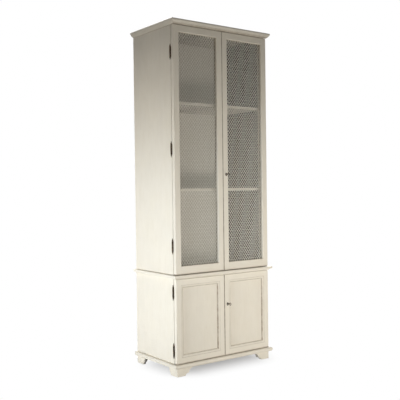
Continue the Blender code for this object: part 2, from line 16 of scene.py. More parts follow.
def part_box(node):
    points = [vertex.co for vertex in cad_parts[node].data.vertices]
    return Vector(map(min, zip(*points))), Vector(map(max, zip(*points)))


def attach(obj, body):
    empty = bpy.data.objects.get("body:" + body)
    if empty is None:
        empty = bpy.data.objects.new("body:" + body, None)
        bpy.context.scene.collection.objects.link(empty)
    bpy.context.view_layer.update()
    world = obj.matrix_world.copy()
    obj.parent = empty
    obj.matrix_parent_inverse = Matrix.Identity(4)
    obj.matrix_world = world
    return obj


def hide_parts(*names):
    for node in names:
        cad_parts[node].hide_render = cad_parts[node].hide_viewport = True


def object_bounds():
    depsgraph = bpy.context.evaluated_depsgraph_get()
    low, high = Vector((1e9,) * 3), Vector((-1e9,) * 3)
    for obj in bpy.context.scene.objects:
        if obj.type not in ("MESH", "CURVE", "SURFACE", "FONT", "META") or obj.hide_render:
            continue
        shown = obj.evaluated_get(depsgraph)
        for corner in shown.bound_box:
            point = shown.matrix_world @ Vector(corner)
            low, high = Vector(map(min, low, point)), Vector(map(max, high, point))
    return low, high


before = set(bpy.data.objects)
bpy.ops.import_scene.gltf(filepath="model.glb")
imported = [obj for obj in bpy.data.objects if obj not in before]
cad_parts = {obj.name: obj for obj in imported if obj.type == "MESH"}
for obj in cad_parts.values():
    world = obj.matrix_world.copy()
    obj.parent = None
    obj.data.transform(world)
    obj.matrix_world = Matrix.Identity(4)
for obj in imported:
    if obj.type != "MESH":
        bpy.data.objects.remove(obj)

cad_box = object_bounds()
print("packed cabinet:", len(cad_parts), "nodes,", [round(v, 4) for v in cad_box[1] - cad_box[0]])

# %% [markdown]
# ## The camera
#
# A camera can be placed by eye, but a match to a photograph is easier to keep when its place and turn
# are written as numbers: a yaw, a pitch, a small roll and a lens. Its three axes are worked out first
# and then set as one matrix.

# %% Place the camera
CAMERA_PLACE = Vector((-2.7366, -3.6750, 1.1763))
CAMERA_YAW, CAMERA_PITCH, CAMERA_ROLL = 0.6353, -0.0160, -0.0124
CAMERA_LENS = 60.35      # millimetres, on a sensor of 36

level_part = cos(CAMERA_PITCH)
forward = Vector((sin(CAMERA_YAW) * level_part, cos(CAMERA_YAW) * level_part, sin(CAMERA_PITCH)))
across = Vector((cos(CAMERA_YAW), -sin(CAMERA_YAW), 0))
upward = across.cross(forward)
tilted_across = across * cos(CAMERA_ROLL) + upward * sin(CAMERA_ROLL)
tilted_upward = upward * cos(CAMERA_ROLL) - across * sin(CAMERA_ROLL)

camera = bpy.data.objects.new("camera", bpy.data.cameras.new("camera"))
camera.data.lens = CAMERA_LENS
camera.matrix_world = Matrix.Translation(CAMERA_PLACE) @ Matrix(
    (tilted_across, tilted_upward, -forward)).transposed().to_4x4()
bpy.context.scene.collection.objects.link(camera)
bpy.context.scene.camera = camera
print("camera at", tuple(camera.location), "lens", CAMERA_LENS)

# %% [markdown]
# ## Writing shader nodes as sums
#
# A material is a graph of nodes. Adding each Math node by hand hides the idea, so one small class wraps
# a socket and lets Python's own operators add those nodes. Every other node comes from its one method,
# which takes the node's type, its settings and the values or links of its inputs.

# %% A wire in a node tree
class Wire:
    """One output socket. Sums on it add Math nodes to its tree."""

    def __init__(self, tree, socket=None):
        self.tree, self.socket = tree, socket

    def node(self, kind, settings=None, inputs=None, out=0):
        """Adds a node: first its settings, then a value or a wire for each named input."""
        made = self.tree.nodes.new(kind)
        for key, value in (settings or {}).items():
            setattr(made, key, value)
        for key, value in (inputs or {}).items():
            if isinstance(value, Wire):
                self.tree.links.new(value.socket, made.inputs[key])
            else:
                made.inputs[key].default_value = value
        return Wire(self.tree, made.outputs[out] if made.outputs else None)

    def math(self, operation, *values):
        return self.node("ShaderNodeMath", {"operation": operation}, dict(enumerate(values)))

    def __add__(self, other):
        return self.math("ADD", self, other)

    def __sub__(self, other):
        return self.math("SUBTRACT", self, other)

    def __rsub__(self, other):
        return self.math("SUBTRACT", other, self)

    def __mul__(self, other):
        return self.math("MULTIPLY", self, other)

    def __abs__(self):
        return self.math("ABSOLUTE", self)

    __radd__, __rmul__ = __add__, __mul__

    def most(self, other):
        return self.math("MAXIMUM", self, other)

    def rise(self, start, end):
        """Goes smoothly from 0 at start to 1 at end."""
        ramp = {"Value": self, "From Min": start, "From Max": end}
        return self.node("ShaderNodeMapRange", {"interpolation_type": "SMOOTHSTEP"}, ramp)

    def mix(self, low, high):
        """Colour between two colours, by this factor."""
        return self.node("ShaderNodeMix", {"data_type": "RGBA"}, {0: self, 6: low, 7: high}, out=2)

    def noise(self, stretch, detail):
        """Soft noise with so many lumps to the metre along each axis; this wire is the place."""
        spread = self.node("ShaderNodeMapping", {}, {"Vector": self, "Scale": stretch})
        return self.node("ShaderNodeTexNoise", {}, {"Vector": spread, "Scale": 1.0, "Detail": detail})


def colour(red, green, blue):
    """Colour as a paint card gives it, 0 to 255, turned into the linear values that shaders use."""
    channels = [value / 255 for value in (red, green, blue)]
    linear = [((c + 0.055) / 1.055) ** 2.4 if c > 0.04045 else c / 12.92 for c in channels]
    return (*linear, 1.0)


def empty_finish(name):
    """Material without nodes, the start of its tree, and the place on the object."""
    made = bpy.data.materials.new(name)
    made.use_nodes = True
    made.node_tree.nodes.clear()
    start = Wire(made.node_tree)
    return made, start, start.node("ShaderNodeTexCoord", out="Object")


def close_finish(start, shader):
    """Leads a shader to the material's output."""
    start.node("ShaderNodeOutputMaterial", {}, {"Surface": shader})


print("a card of cream is", [round(v, 3) for v in colour(228, 221, 206)])

# %% [markdown]
# ## Floor, backdrop and lamps
#
# The cabinet stands in a white studio. It is lit from low on the left and low in front, so it darkens
# towards its top, and two softboxes behind it keep its back and its top from going black. More light
# would whiten the floor but bleach the paint. Instead, the floor and the world look white only to the
# camera and in reflections, and the floor keeps part of its shaded side, where the soft shadow shows.

# %% White floor
WHITE = colour(255, 255, 255)
FLOOR_SHADE = colour(218, 218, 219)         # of the part that takes the shadow
FLOOR_HALF = 60.0
FLOOR_DROP = 0.0002      # under the feet
FLOOR_GLOW = 0.33        # share of the floor that is plain white under the middle of the cabinet
SHADOW_INSET = 0.20      # where the shadow starts to fade, inside the cabinet's edges
SHADOW_FADE = 0.31       # how far it takes to fade away
SHADOW_SHIFT = (-0.03, 0, 0)                # it lies a little to the right, away from the left lamps
NOTHING = (0, 0, 0)


def seen_directly(start):
    """1 for what the camera sees, also in a mirror or through glass."""
    plain_view, mirrored, through_glass = [start.node("ShaderNodeLightPath", out=f"Is {kind} Ray")
                                           for kind in ("Camera", "Glossy", "Transmission")]
    return plain_view.most(mirrored).most(through_glass)


floor_finish, floor_start, floor_place = empty_finish("white_floor")
plain = floor_start.node("ShaderNodeBsdfDiffuse", {}, {"Color": FLOOR_SHADE})
white = floor_start.node("ShaderNodeEmission", {}, {"Color": WHITE, "Strength": 1.0})
beyond = floor_place
shadow_edge = cad_box[1] - Vector((SHADOW_INSET, SHADOW_INSET, 0))
for operation, other in (("ADD", SHADOW_SHIFT), ("ABSOLUTE", NOTHING), ("SUBTRACT", shadow_edge),
                         ("MAXIMUM", NOTHING)):
    beyond = beyond.node("ShaderNodeVectorMath", {"operation": operation}, {0: beyond, 1: other})
away = beyond.node("ShaderNodeVectorMath", {"operation": "LENGTH"}, {0: beyond}, out="Value")
glow = seen_directly(floor_start) * (FLOOR_GLOW + away.rise(0, SHADOW_FADE) * (1 - FLOOR_GLOW))
close_finish(floor_start, floor_start.node("ShaderNodeMixShader", {}, {0: glow, 1: plain, 2: white}))

floor_bm = bmesh.new()
bmesh.ops.create_grid(floor_bm, x_segments=1, y_segments=1, size=FLOOR_HALF)
bmesh.ops.translate(floor_bm, vec=(0, 0, -FLOOR_DROP), verts=floor_bm.verts)
floor = bpy.data.objects.new("floor", bpy.data.meshes.new("floor"))
floor_bm.to_mesh(floor.data)
floor_bm.free()
floor.data.materials.append(floor_finish)
bpy.context.scene.collection.objects.link(floor)
print("floor", 2 * FLOOR_HALF, "m wide")

# %% White world
AMBIENT, AMBIENT_TINT = 0.02, colour(255, 253, 250)     # light from all round

world = bpy.data.worlds.new("studio")
world.use_nodes = True
world.node_tree.nodes.clear()
sky = Wire(world.node_tree)
dim = sky.node("ShaderNodeBackground", {}, {"Color": AMBIENT_TINT, "Strength": AMBIENT})
bright = sky.node("ShaderNodeBackground", {}, {"Color": WHITE, "Strength": 1.0})
backdrop = sky.node("ShaderNodeMixShader", {}, {0: seen_directly(sky), 1: dim, 2: bright})
sky.node("ShaderNodeOutputWorld", {}, {"Surface": backdrop})
bpy.context.scene.world = world
bpy.context.scene.view_settings.view_transform = "Standard"
print("light from all round", AMBIENT)

# %% Lamps
COOL, PLAIN, WARM = colour(220, 237, 255), colour(255, 253, 249), colour(255, 253, 248)
LEFT_LAMP, SIDE_AIM = (-3.6, -0.65, 0.50), (-0.38, -0.05, 0.62)
SPOTS = (                # name, place, aim, radius in metres, watts, cone in degrees, tint
    ("left_spot", LEFT_LAMP, SIDE_AIM, 0.35, 240, 40, COOL),
    ("left_wide_spot", LEFT_LAMP, SIDE_AIM, 0.35, 122, 75, PLAIN),
    ("left_high_spot", (-3.6, 0.25, 1.20), (-0.38, 0.02, 0.90), 0.35, 164, 55, PLAIN),
    ("front_low_spot", (0.5, -2.4, 0.45), (0.0, -0.2, 0.85), 0.30, 66, 110, WARM),
    ("front_spot", (0.4, -2.1, 0.72), (0.0, -0.2, 0.70), 0.20, 53, 120, WARM),
)
SPOT_BLEND = 1.0         # a cone's edge is soft all the way
SOFTBOXES = (            # name, place, aim, size in metres, watts, spread in degrees, tint
    ("back_softbox", (3.3, 2.6, 1.5), (0.0, 0.0, 1.1), 2.4, 56, 140, PLAIN),
    ("high_softbox", (0.6, 2.8, 4.8), (0.0, 0.25, 1.6), 2.0, 58, 110, PLAIN),
)


def hang_lamp(light, place, aim, watts, tint):
    """Lamp that looks from its place to its aim and stays out of sight."""
    light.energy, light.color = watts, tint[:3]
    lamp = bpy.data.objects.new(light.name, light)
    lamp.location = place
    lamp.rotation_euler = (Vector(aim) - Vector(place)).to_track_quat("-Z", "Y").to_euler()
    lamp.visible_camera = False
    bpy.context.scene.collection.objects.link(lamp)


for name, place, aim, radius, watts, cone, tint in SPOTS:
    light = bpy.data.lights.new(name, "SPOT")
    light.shadow_soft_size, light.spot_size, light.spot_blend = radius, radians(cone), SPOT_BLEND
    hang_lamp(light, place, aim, watts, tint)
for name, place, aim, size, watts, spread, tint in SOFTBOXES:
    light = bpy.data.lights.new(name, "AREA")
    light.shape = "DISK"
    light.size, light.spread = size, radians(spread)
    hang_lamp(light, place, aim, watts, tint)
print(len(SPOTS), "spots and", len(SOFTBOXES), "softboxes")

# %% [markdown]
# ## Where things are
#
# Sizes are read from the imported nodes, so a new piece always fits the solid that it dresses. A few
# working sizes of the mouldings are repeated here, because a box cannot tell them.

# %% Planes and levels of the cabinet
SIDES = (("left", -1), ("right", 1))
LEVELS = ("lower", "upper")

door_low, door_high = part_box("lower_door_left_frame")
FRONT, DOOR_BACK, HALF = door_low.y, door_high.y, -door_low.x
MEETING = -door_high.x                      # from the middle to a door's meeting edge
CASE_FRONT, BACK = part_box("lower_side_left")[0].y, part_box("lower_side_left")[1].y
PLINTH_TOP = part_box("plinth_front")[1].z
WAIST_LOW, WAIST_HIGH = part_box("waist_board")[0].z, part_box("waist_board")[1].z
TOP_LOW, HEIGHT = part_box("top_board")[0].z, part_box("top_board")[1].z
DOOR_MIDDLE = (HALF + MEETING) / 2
SHADOW_GAP_Y = (DOOR_BACK + CASE_FRONT) / 2
SHELF_FRONT, BACK_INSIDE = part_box("upper_shelf_low")[0].y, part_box("upper_back")[0].y
lower_box, upper_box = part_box("lower_door_right_frame"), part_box("upper_door_right_frame")

UPPER_STILE, UPPER_TOP_RAIL, UPPER_BOTTOM_RAIL = 0.042, 0.043, 0.0525
MESH_INSETS = (UPPER_STILE, UPPER_BOTTOM_RAIL, UPPER_TOP_RAIL)      # from a door's sides, foot and top
OPENING_CHAMFER = 0.003
MESH_SETBACK, MESH_REBATE = 0.020, 0.008
LOWER_STILE = 0.038
MOULDING_WIDTH, MOULDING_DEPTH, MOULDING_QUIRK, MOULDING_LIP = 0.0165, 0.0085, 0.0015, 0.0020
PANEL_REBATE = 0.008
PANEL_SEAT = MOULDING_DEPTH + MOULDING_LIP
GAP = 0.0003             # between pieces that touch
PANEL_FACE = PANEL_SEAT + GAP
print("door face", round(FRONT, 4), "half width", round(HALF, 4), "height", round(HEIGHT, 4))

# %% [markdown]
# ## Cream paint, rubbed back and glazed
#
# The wood is open grained and brushed with cream. A thin brown glaze was wiped over it, so it stays in
# the joints and hollows, and the edges are rubbed through. The grain is noise that is stretched along
# the board. The glaze lines also carry painted shade: the shade that falls in the gaps, hollows and
# reveals is painted into them, most of all on the fronts and along the right-hand slopes of the panels.
# They follow distances from the real joints, which are plain sums on the place, and the rubbed edges
# follow an attribute that the rounded edges carry. Within the cases the paint is darker and greyer with
# painted shade, most of all on the side walls.

# %% Cream paint
CREAM = colour(230, 222, 206)
CREAM_SHADE = colour(217, 207, 187)
CREAM_COOL = colour(224, 217, 204)
# painted shade inside the cases, darkest on the side walls
INSIDE_PAINTED_SHADE = colour(124, 117, 113)
PORE = colour(190, 176, 151)
# brown of the glaze in the joints, also used as painted shade in the gaps and hollows
GLAZE_AND_SHADE = colour(118, 97, 72)
RUBBED = colour(176, 150, 116)
PAINT_NOISES = (         # lumps to the metre along and across the grain, detail, where it starts and is full
    (4.5, 85.0, 3.0, 0.35, 0.75),           # streaks of the grain
    (16.0, 420.0, 2.0, 0.60, 0.74),         # pores
    (7.0, 7.0, 3.0, 0.30, 0.70),            # clouds of cooler paint
    (11.0, 24.0, 3.0, 0.34, 0.68),          # mottles of brush work
    (38.0, 38.0, 4.0, 0.32, 0.66),          # breaks in the glaze
    (160.0, 160.0, 3.0, 0.54, 0.64),        # flecks where an edge is rubbed through
)
STREAK_TINT, MOTTLE_TINT, CLOUD_TINT, PORE_TINT = 0.14, 0.20, 0.32, 0.16    # how much each one shows
GLAZE_AND_SHADE_LEAST, GLAZE_AND_SHADE_MORE = 0.56, 0.26        # how much the glaze and painted shade show, and what the breaks change
RUBBED_MOST = 0.55
STREAK_RELIEF, PORE_RELIEF, RELIEF, RELIEF_DEPTH = 0.4, 0.6, 0.14, 0.0006
PAINT_ROUGH, CLOUD_ROUGH, PORE_ROUGH = 0.46, 0.12, 0.10
SEAM_CORE = 0.15         # share of a line's width in which the glaze and painted shade are full


def paint_noises(place, grain):
    """The paint's noises, each with its own count of lumps along the grain's axis."""
    for along, across_grain, detail, start, full in PAINT_NOISES:
        lumps = tuple(along if axis == grain else across_grain for axis in "xyz")
        yield place.noise(lumps, detail).rise(start, full)


def seam(distance, width):
    """Glaze and painted shade in a line: full where the distance is nothing, gone at the width."""
    return distance.rise(width, width * SEAM_CORE)


def cream_paint(name, grain, seams, painted_shade_inside=None):
    """Cream paint with its grain along an axis; seams gives the glaze and painted shade from the place's
    x, y and z.

    Where the last argument gives 1, the paint turns to the painted shade of the inside.
    """
    made, start, place = empty_finish(name)
    xyz = [place.node("ShaderNodeSeparateXYZ", {}, {"Vector": place}, out=axis) for axis in "XYZ"]
    streaks, pores, clouds, mottles, breaks, flecks = paint_noises(place, grain)
    rubbed = place.node("ShaderNodeAttribute", {"attribute_name": "worn"}, out="Fac")

    tint = (streaks * STREAK_TINT + mottles * MOTTLE_TINT).mix(CREAM, CREAM_SHADE)
    tint = (clouds * CLOUD_TINT).mix(tint, CREAM_COOL)
    tint = (pores * PORE_TINT).mix(tint, PORE)
    # painted shade inside the cases
    if painted_shade_inside:
        tint = painted_shade_inside(*xyz).mix(tint, INSIDE_PAINTED_SHADE)
    # glaze in the joints together with painted shade in the gaps and hollows
    tint = (seams(*xyz) * (breaks * GLAZE_AND_SHADE_MORE + GLAZE_AND_SHADE_LEAST)).mix(tint, GLAZE_AND_SHADE)
    tint = (rubbed * breaks * flecks * RUBBED_MOST).mix(tint, RUBBED)

    relief = {"Height": streaks * STREAK_RELIEF - pores * PORE_RELIEF, "Strength": RELIEF,
              "Distance": RELIEF_DEPTH}
    inputs = {"Base Color": tint, "Roughness": PAINT_ROUGH + clouds * CLOUD_ROUGH + pores * PORE_ROUGH,
              "Normal": place.node("ShaderNodeBump", {}, relief)}
    close_finish(start, place.node("ShaderNodeBsdfPrincipled", {}, inputs))
    return made


print("cream paint is made of", len(PAINT_NOISES), "noises")

# %% Paint of the cases and the cornice
CORNER_GLAZE_AND_SHADE = 0.0038    # how far the glaze and painted shade reach out of a corner
FRONT_DEEP = 0.03        # behind the door faces, where a corner's front part ends
CORNERS = (              # height, how much glaze on the sides, and how much more painted shade on the front
    (PLINTH_TOP, 0.05, 0.65),
    (WAIST_HIGH, 0.58, 0.37),
    (TOP_LOW, 0.35, 0.60),
)
CORNICE_GLAZE_AND_SHADE, CORNICE_MOST = 0.0170, 0.75  # how far the glaze and painted shade reach up the cornice's front, and how much
SHADE_IN = (0.008, 0.012)                    # in from the outside, where the painted shade starts and is full
SHADE_BACK = (0.002, 0.006)                  # the same, back from the shelves' front edges
SHADE_END = (0.003, 0.001)                   # past the inside of the back and the top, where it ends
WALL_IN = (0.026, 0.022)                    # in from the outside, where a side wall ends
SHADE_LEAST, SHADE_ON_WALLS = 0.25, 0.72      # how much the painted shade shows, and how much more on the side walls


def case_seams(x, y, z):
    """Glaze and painted shade in the corners where the cases meet the plinth, the waist and the cornice; the
    painted shade is most on the front.
    """
    out = (abs(x) - HALF).most(FRONT - y)
    front = (y - FRONT).rise(FRONT_DEEP, 0.0)
    plinth, waist, top = [seam(abs(z - height).most(out), CORNER_GLAZE_AND_SHADE) * (on_sides + front * more)
                          for height, on_sides, more in CORNERS]
    return plinth.most(waist).most(top)


def cornice_seams(x, y, z):
    """Glaze and painted shade in the hollow under the cornice."""
    return z.rise(TOP_LOW + CORNICE_GLAZE_AND_SHADE, TOP_LOW) * CORNICE_MOST


def inside_painted_shade(x, y, z):
    """How much painted shade darkens the inside of the cases, behind the shelves' front edges, most on the side
    walls.
    """
    deep = HALF - abs(x)
    within = deep.rise(*SHADE_IN) * (y - SHELF_FRONT).rise(*SHADE_BACK)
    beyond_within = (y - BACK_INSIDE).most(z - TOP_LOW)
    return within * beyond_within.rise(*SHADE_END) * (SHADE_LEAST + deep.rise(*WALL_IN) * SHADE_ON_WALLS)


case_paint = {axis: cream_paint(f"cream_case_{axis}", axis, case_seams, inside_painted_shade) for axis in "xyz"}
cornice_paint = {"x": cream_paint("cream_cornice_x", "x", cornice_seams), "y": case_paint["y"]}
print("paints:", [paint.name for paint in (*case_paint.values(), cornice_paint["x"])])

# %% Paint of the doors
SLOPE_START, SLOPE_END = 0.0013, 0.0027     # depth at which the glaze and painted shade on a panel's moulding grow
SLOPE_GLAZE_AND_SHADE = 0.0120     # how far it reaches up the moulding
SLOPE_LEAST, SLOPE_SHADE_MORE = 0.48, 0.50        # how much it shows, and how much more painted shade along the right-hand edge
MITRE_SOFT, MIDDLE_SOFT = 0.003, 0.02       # half of the way over which that changes
QUIRK_GLAZE_AND_SHADE, QUIRK_MOST = 0.0040, 0.34      # half the line of glaze and painted shade along the moulding's outer edge, and how much
MEETING_GLAZE_AND_SHADE = 0.0060   # from the middle, on the edges where two doors meet
MEETING_LEAST, MEETING_MORE = 0.45, 0.45    # at the top, and how much more at the waist and below
FOOT_GLAZE_AND_SHADE, FOOT_MOST = 0.0080, 0.55        # how far the glaze and painted shade reach up a door's foot, and how much
OPENING_GLAZE_AND_SHADE = 0.003    # half the line of glaze and painted shade round the mesh
REVEAL_MOST, MESH_SIDE_MORE = 0.28, 0.40    # glaze and painted shade in the reveal round the mesh, and how much more beside the mesh
MESH_SIDE_START = 0.014  # depth where that starts


def rectangle_distances(x, z, box, insets):
    """Distances out of a rectangle inside a door, sideways and upright, the same on both doors."""
    side, bottom, top = insets
    low, high = box[0].z + bottom, box[1].z - top
    beside = abs(abs(x) - DOOR_MIDDLE) - ((HALF - MEETING) / 2 - side)
    above = abs(z - (low + high) / 2) - (high - low) / 2
    return beside, above


def rectangle_seam(x, z, box, insets, width):
    """Line round a rectangle inside a door."""
    beside, above = rectangle_distances(x, z, box, insets)
    return seam(abs(beside.most(above)), width)


def door_edges(x, z, box):
    """Glaze and painted shade where two doors meet, more of it low down, and at a door's foot."""
    meeting = seam(abs(x), MEETING_GLAZE_AND_SHADE) * (MEETING_LEAST + z.rise(HEIGHT, WAIST_HIGH) * MEETING_MORE)
    return meeting.most(seam(z - box[0].z, FOOT_GLAZE_AND_SHADE) * FOOT_MOST)


def lower_door_seams(x, y, z):
    """Glaze and painted shade on the slope of the panel's moulding, most on its right-hand edge,
    a line along its outer edge, and the door's own edges.
    """
    inner, depth = (LOWER_STILE + MOULDING_WIDTH,) * 3, y - FRONT
    slope = depth.rise(SLOPE_START, SLOPE_END) * (1 - depth.rise(PANEL_SEAT, PANEL_FACE))
    beside, above = rectangle_distances(x, z, lower_box, inner)
    # painted shade along each panel's right-hand edge
    right = x.math("SIGN", x) * (abs(x) - DOOR_MIDDLE)
    right_edge_shade = (beside - above).rise(-MITRE_SOFT, MITRE_SOFT) * right.rise(-MIDDLE_SOFT, MIDDLE_SOFT)
    panel_edge = seam(abs(beside.most(above)), SLOPE_GLAZE_AND_SHADE) * slope * (SLOPE_LEAST + right_edge_shade * SLOPE_SHADE_MORE)
    outer_edge = rectangle_seam(x, z, lower_box, (LOWER_STILE,) * 3, QUIRK_GLAZE_AND_SHADE) * QUIRK_MOST
    return panel_edge.most(outer_edge).most(door_edges(x, z, lower_box))


def upper_door_seams(x, y, z):
    """Glaze and painted shade on the inner edges round the mesh, most of all beside it, and on the door's own
    edges.
    """
    depth = y - FRONT
    reveal = depth.rise(OPENING_CHAMFER, 2 * OPENING_CHAMFER) * REVEAL_MOST
    reveal = reveal + depth.rise(MESH_SIDE_START, MESH_SETBACK) * MESH_SIDE_MORE
    opening = rectangle_seam(x, z, upper_box, MESH_INSETS, OPENING_GLAZE_AND_SHADE)
    return (opening * reveal).most(door_edges(x, z, upper_box))


door_seams = {"lower": lower_door_seams, "upper": upper_door_seams}
door_paint = {level: {axis: cream_paint(f"cream_{level}_door_{axis}", axis, seams) for axis in "xz"}
              for level, seams in door_seams.items()}
print("paints:", [paint.name for paints in door_paint.values() for paint in paints.values()])

# %% [markdown]
# ## Cream wire and dark bronze
#
# The wire of the doors was sprayed to go with the paint. It is a little lighter and quite matt. The
# hinges, keys and plates are dark bronze that hands have polished in places, so its colour and its
# roughness change together.

# %% Metals
PATCH_START, PATCH_FULL = 0.36, 0.68        # noise at which a polished patch starts and is full
FINE_LUMPS = 9           # to one lump of the patches
METAL_RELIEF, METAL_DEPTH = 0.2, 0.0002


def mottled_metal(name, dull, polished, lumps, metallic, rough):
    """Metal between a dull and a polished colour; rough gives the roughness of both."""
    made, start, place = empty_finish(name)
    patches = place.noise((lumps,) * 3, 4.0).rise(PATCH_START, PATCH_FULL)
    fine = place.noise((lumps * FINE_LUMPS,) * 3, 2.0)
    relief = {"Height": fine, "Strength": METAL_RELIEF, "Distance": METAL_DEPTH}
    inputs = {"Base Color": patches.mix(dull, polished), "Metallic": metallic,
              "Roughness": rough[0] + patches * (rough[1] - rough[0]),
              "Normal": place.node("ShaderNodeBump", {}, relief)}
    close_finish(start, place.node("ShaderNodeBsdfPrincipled", {}, inputs))
    return made


wire_finish = mottled_metal("cream_wire", colour(232, 227, 215), colour(244, 240, 229), 60, 0.0, (0.62, 0.50))
bronze = mottled_metal("dark_bronze", colour(46, 38, 31), colour(98, 82, 64), 90, 0.85, (0.55, 0.36))
key_metal = mottled_metal("key_bronze", colour(48, 40, 33), colour(104, 88, 68), 160, 0.9, (0.50, 0.32))
steel = mottled_metal("lock_steel", colour(112, 108, 100), colour(160, 155, 146), 120, 0.9, (0.45, 0.30))
print("metals:", wire_finish.name, bronze.name, key_metal.name, steel.name)

# %% [markdown]
# ## Boards with rubbed edges
#
# A cube has razor edges that no painted board has. Each board of the cases starts as a cube, is scaled
# to its node's box, and has all its edges bevelled into small rounds. The rounds are shaded smooth and
# the flats are not, so the wide faces stay flat. The rounds also carry the attribute that the paint
# reads as rubbed.

# %% Rounded edges
EDGE_ROUND = 0.0012


def fresh_bmesh():
    """New bmesh whose faces can be marked as worn."""
    bm = bmesh.new()
    bm.faces.layers.float.new("worn")
    return bm


def soften(bm, edges, radius=EDGE_ROUND, segments=3):
    """Rounds edges and marks the rounds as worn."""
    worn = bm.faces.layers.float["worn"]
    made = bmesh.ops.bevel(bm, geom=list(edges), offset=radius, offset_type="OFFSET", affect="EDGES",
                           segments=segments, profile=0.5, material=-1, clamp_overlap=True)
    for face in made["faces"]:
        face.smooth = True
        face[worn] = 1.0


print("edges are rounded by", EDGE_ROUND, "m")

# %% Boards of the two cases
BRAD_RISE = 0.0005       # nail heads on the backs, which lie in by as much
case_boards = {f"{level}_{part}": grain for level in LEVELS for part, grain in
               (("side_left", "z"), ("side_right", "z"), ("bottom", "x"), ("back", "z"))}
case_boards.update({node: "x" for node in ("lower_shelf", "upper_shelf_low", "upper_shelf_high", "top_board")})


def add_piece(name, bm, body, finish, replaced=()):
    """Piece from a bmesh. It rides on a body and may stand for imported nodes."""
    mesh = bpy.data.meshes.new(name)
    bm.to_mesh(mesh)
    bm.free()
    mesh.materials.append(finish)
    piece = bpy.data.objects.new(name, mesh)
    bpy.context.scene.collection.objects.link(piece)
    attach(piece, body)
    if replaced:
        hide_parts(*replaced)


def box_in(bm, low, high):
    """Adds a box between two corners and gives its vertices."""
    verts = bmesh.ops.create_cube(bm, size=1.0)["verts"]
    bmesh.ops.scale(bm, vec=high - low, verts=verts)
    bmesh.ops.translate(bm, vec=(low + high) / 2, verts=verts)
    return verts


def board(name, low, high, body, finish, replaced):
    """Board with rounded edges."""
    bm = fresh_bmesh()
    box_in(bm, Vector(low), Vector(high))
    soften(bm, bm.edges)
    add_piece(name, bm, body, finish, replaced)


for node, grain in case_boards.items():
    low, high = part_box(node)
    if node.endswith("_back"):
        high.y -= BRAD_RISE
    board(f"{node}_painted", low, high, "cabinet", case_paint[grain], [node])
for side, _ in SIDES:
    node = f"lower_door_{side}_panel"
    board(f"{node}_painted", *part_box(node), f"lower_{side}_door", door_paint["lower"]["z"], [node])
print(len(case_boards) + len(SIDES), "boards")

# %% [markdown]
# ## Bracket feet
#
# The plinth is four boards, sawn to bracket feet with two hollows each. Drawing the hollows point by
# point is slow work. A corner that is bevelled all the way to its two neighbours becomes a quarter of
# an ellipse, so the outline needs only its corners and a mark on those that become hollows.

# %% Faces with curved corners
CURVE_STEPS = 10
SAME_PLACE = 0.000001    # vertices nearer than this are merged
SMOOTH_LIMIT = radians(38)                  # an edge that turns further is sharp


def newer(items, old):
    """Those vertices or faces that were not there before."""
    return [item for item in items if item not in old]


def rounded_face(bm, corners, place):
    """Face through corners of u, v and whether it is curved as far as both its neighbours."""
    old_verts, old_faces = set(bm.verts), set(bm.faces)
    verts = [bm.verts.new(place(u, v)) for u, v, _ in corners]
    bm.faces.new(verts)
    curved = [vert for vert, (_, _, bent) in zip(verts, corners) if bent]
    if curved:
        bmesh.ops.bevel(bm, geom=curved, offset=100, offset_type="PERCENT", affect="VERTICES",
                        segments=CURVE_STEPS, profile=0.5, material=-1, clamp_overlap=False)
        bmesh.ops.remove_doubles(bm, verts=newer(bm.verts, old_verts), dist=SAME_PLACE)
    return newer(bm.faces, old_faces)[0]


def verts_in(geom):
    """The vertices among what an operator gave back."""
    return [item for item in geom if isinstance(item, bmesh.types.BMVert)]


def extruded(bm, faces):
    """Extrudes faces in place and gives the new vertices."""
    return verts_in(bmesh.ops.extrude_face_region(bm, geom=faces)["geom"])


def face_outwards(bm):
    """Turns every face of closed shapes outwards."""
    bmesh.ops.recalc_face_normals(bm, faces=bm.faces)


def sharp_edges(bm):
    """Edges that turn more than a curve's own facets do."""
    return [edge for edge in bm.edges if edge.calc_face_angle(0.0) > SMOOTH_LIMIT]


print("a curved corner has", CURVE_STEPS, "steps")

# %% Plinth boards
FOOT_FRONT, FOOT_SIDE = 0.064, 0.074        # width of a foot at the floor
SIDE_SHARE = 0.5         # runs of the hollows on the sides, against those on the front
HOLLOW_RUN, HOLLOW_RISE = 0.020, 0.016
STEP_RUN, STEP_RISE = 0.006, 0.002
SWEEP_RUN, APRON_RISE = 0.040, 0.048
plinth_joints = [corner.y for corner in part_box("plinth_left")]


def foot_corners(width, share):
    """Inner edge of a foot, from the floor to the apron, by distance from the cabinet's corner."""
    hollow_end = width + share * HOLLOW_RUN
    step = hollow_end + share * STEP_RUN
    return [(width, 0, False), (width, HOLLOW_RISE, True), (hollow_end, HOLLOW_RISE, False),
            (step, HOLLOW_RISE + STEP_RISE, False), (step, APRON_RISE, True),
            (step + share * SWEEP_RUN, APRON_RISE, False)]


def at_joint(edge):
    """Whether an edge lies where a side board of the plinth meets the front or the back one."""
    return any(all(abs(vert.co.y - y) < 2 * GAP for vert in edge.verts) for y in plinth_joints)


def plinth_board(node, ends, corners, feet, place, shift, grain):
    """Board with a foot by each corner of the cabinet; its edges stay sharp where it meets the next board."""
    low, high = ends
    outline = [(low, 0, False)] + [(corners[0] + run, rise, bent) for run, rise, bent in feet]
    outline += [(corners[1] - run, rise, bent) for run, rise, bent in reversed(feet)]
    outline += [(high, 0, False), (high, PLINTH_TOP, False), (low, PLINTH_TOP, False)]
    bm = fresh_bmesh()
    face = rounded_face(bm, outline, place)
    bmesh.ops.translate(bm, vec=shift, verts=extruded(bm, [face]))
    face_outwards(bm)
    soften(bm, [edge for edge in sharp_edges(bm) if not at_joint(edge)], segments=2)
    add_piece(f"{node}_sawn", bm, "cabinet", case_paint[grain], [node])


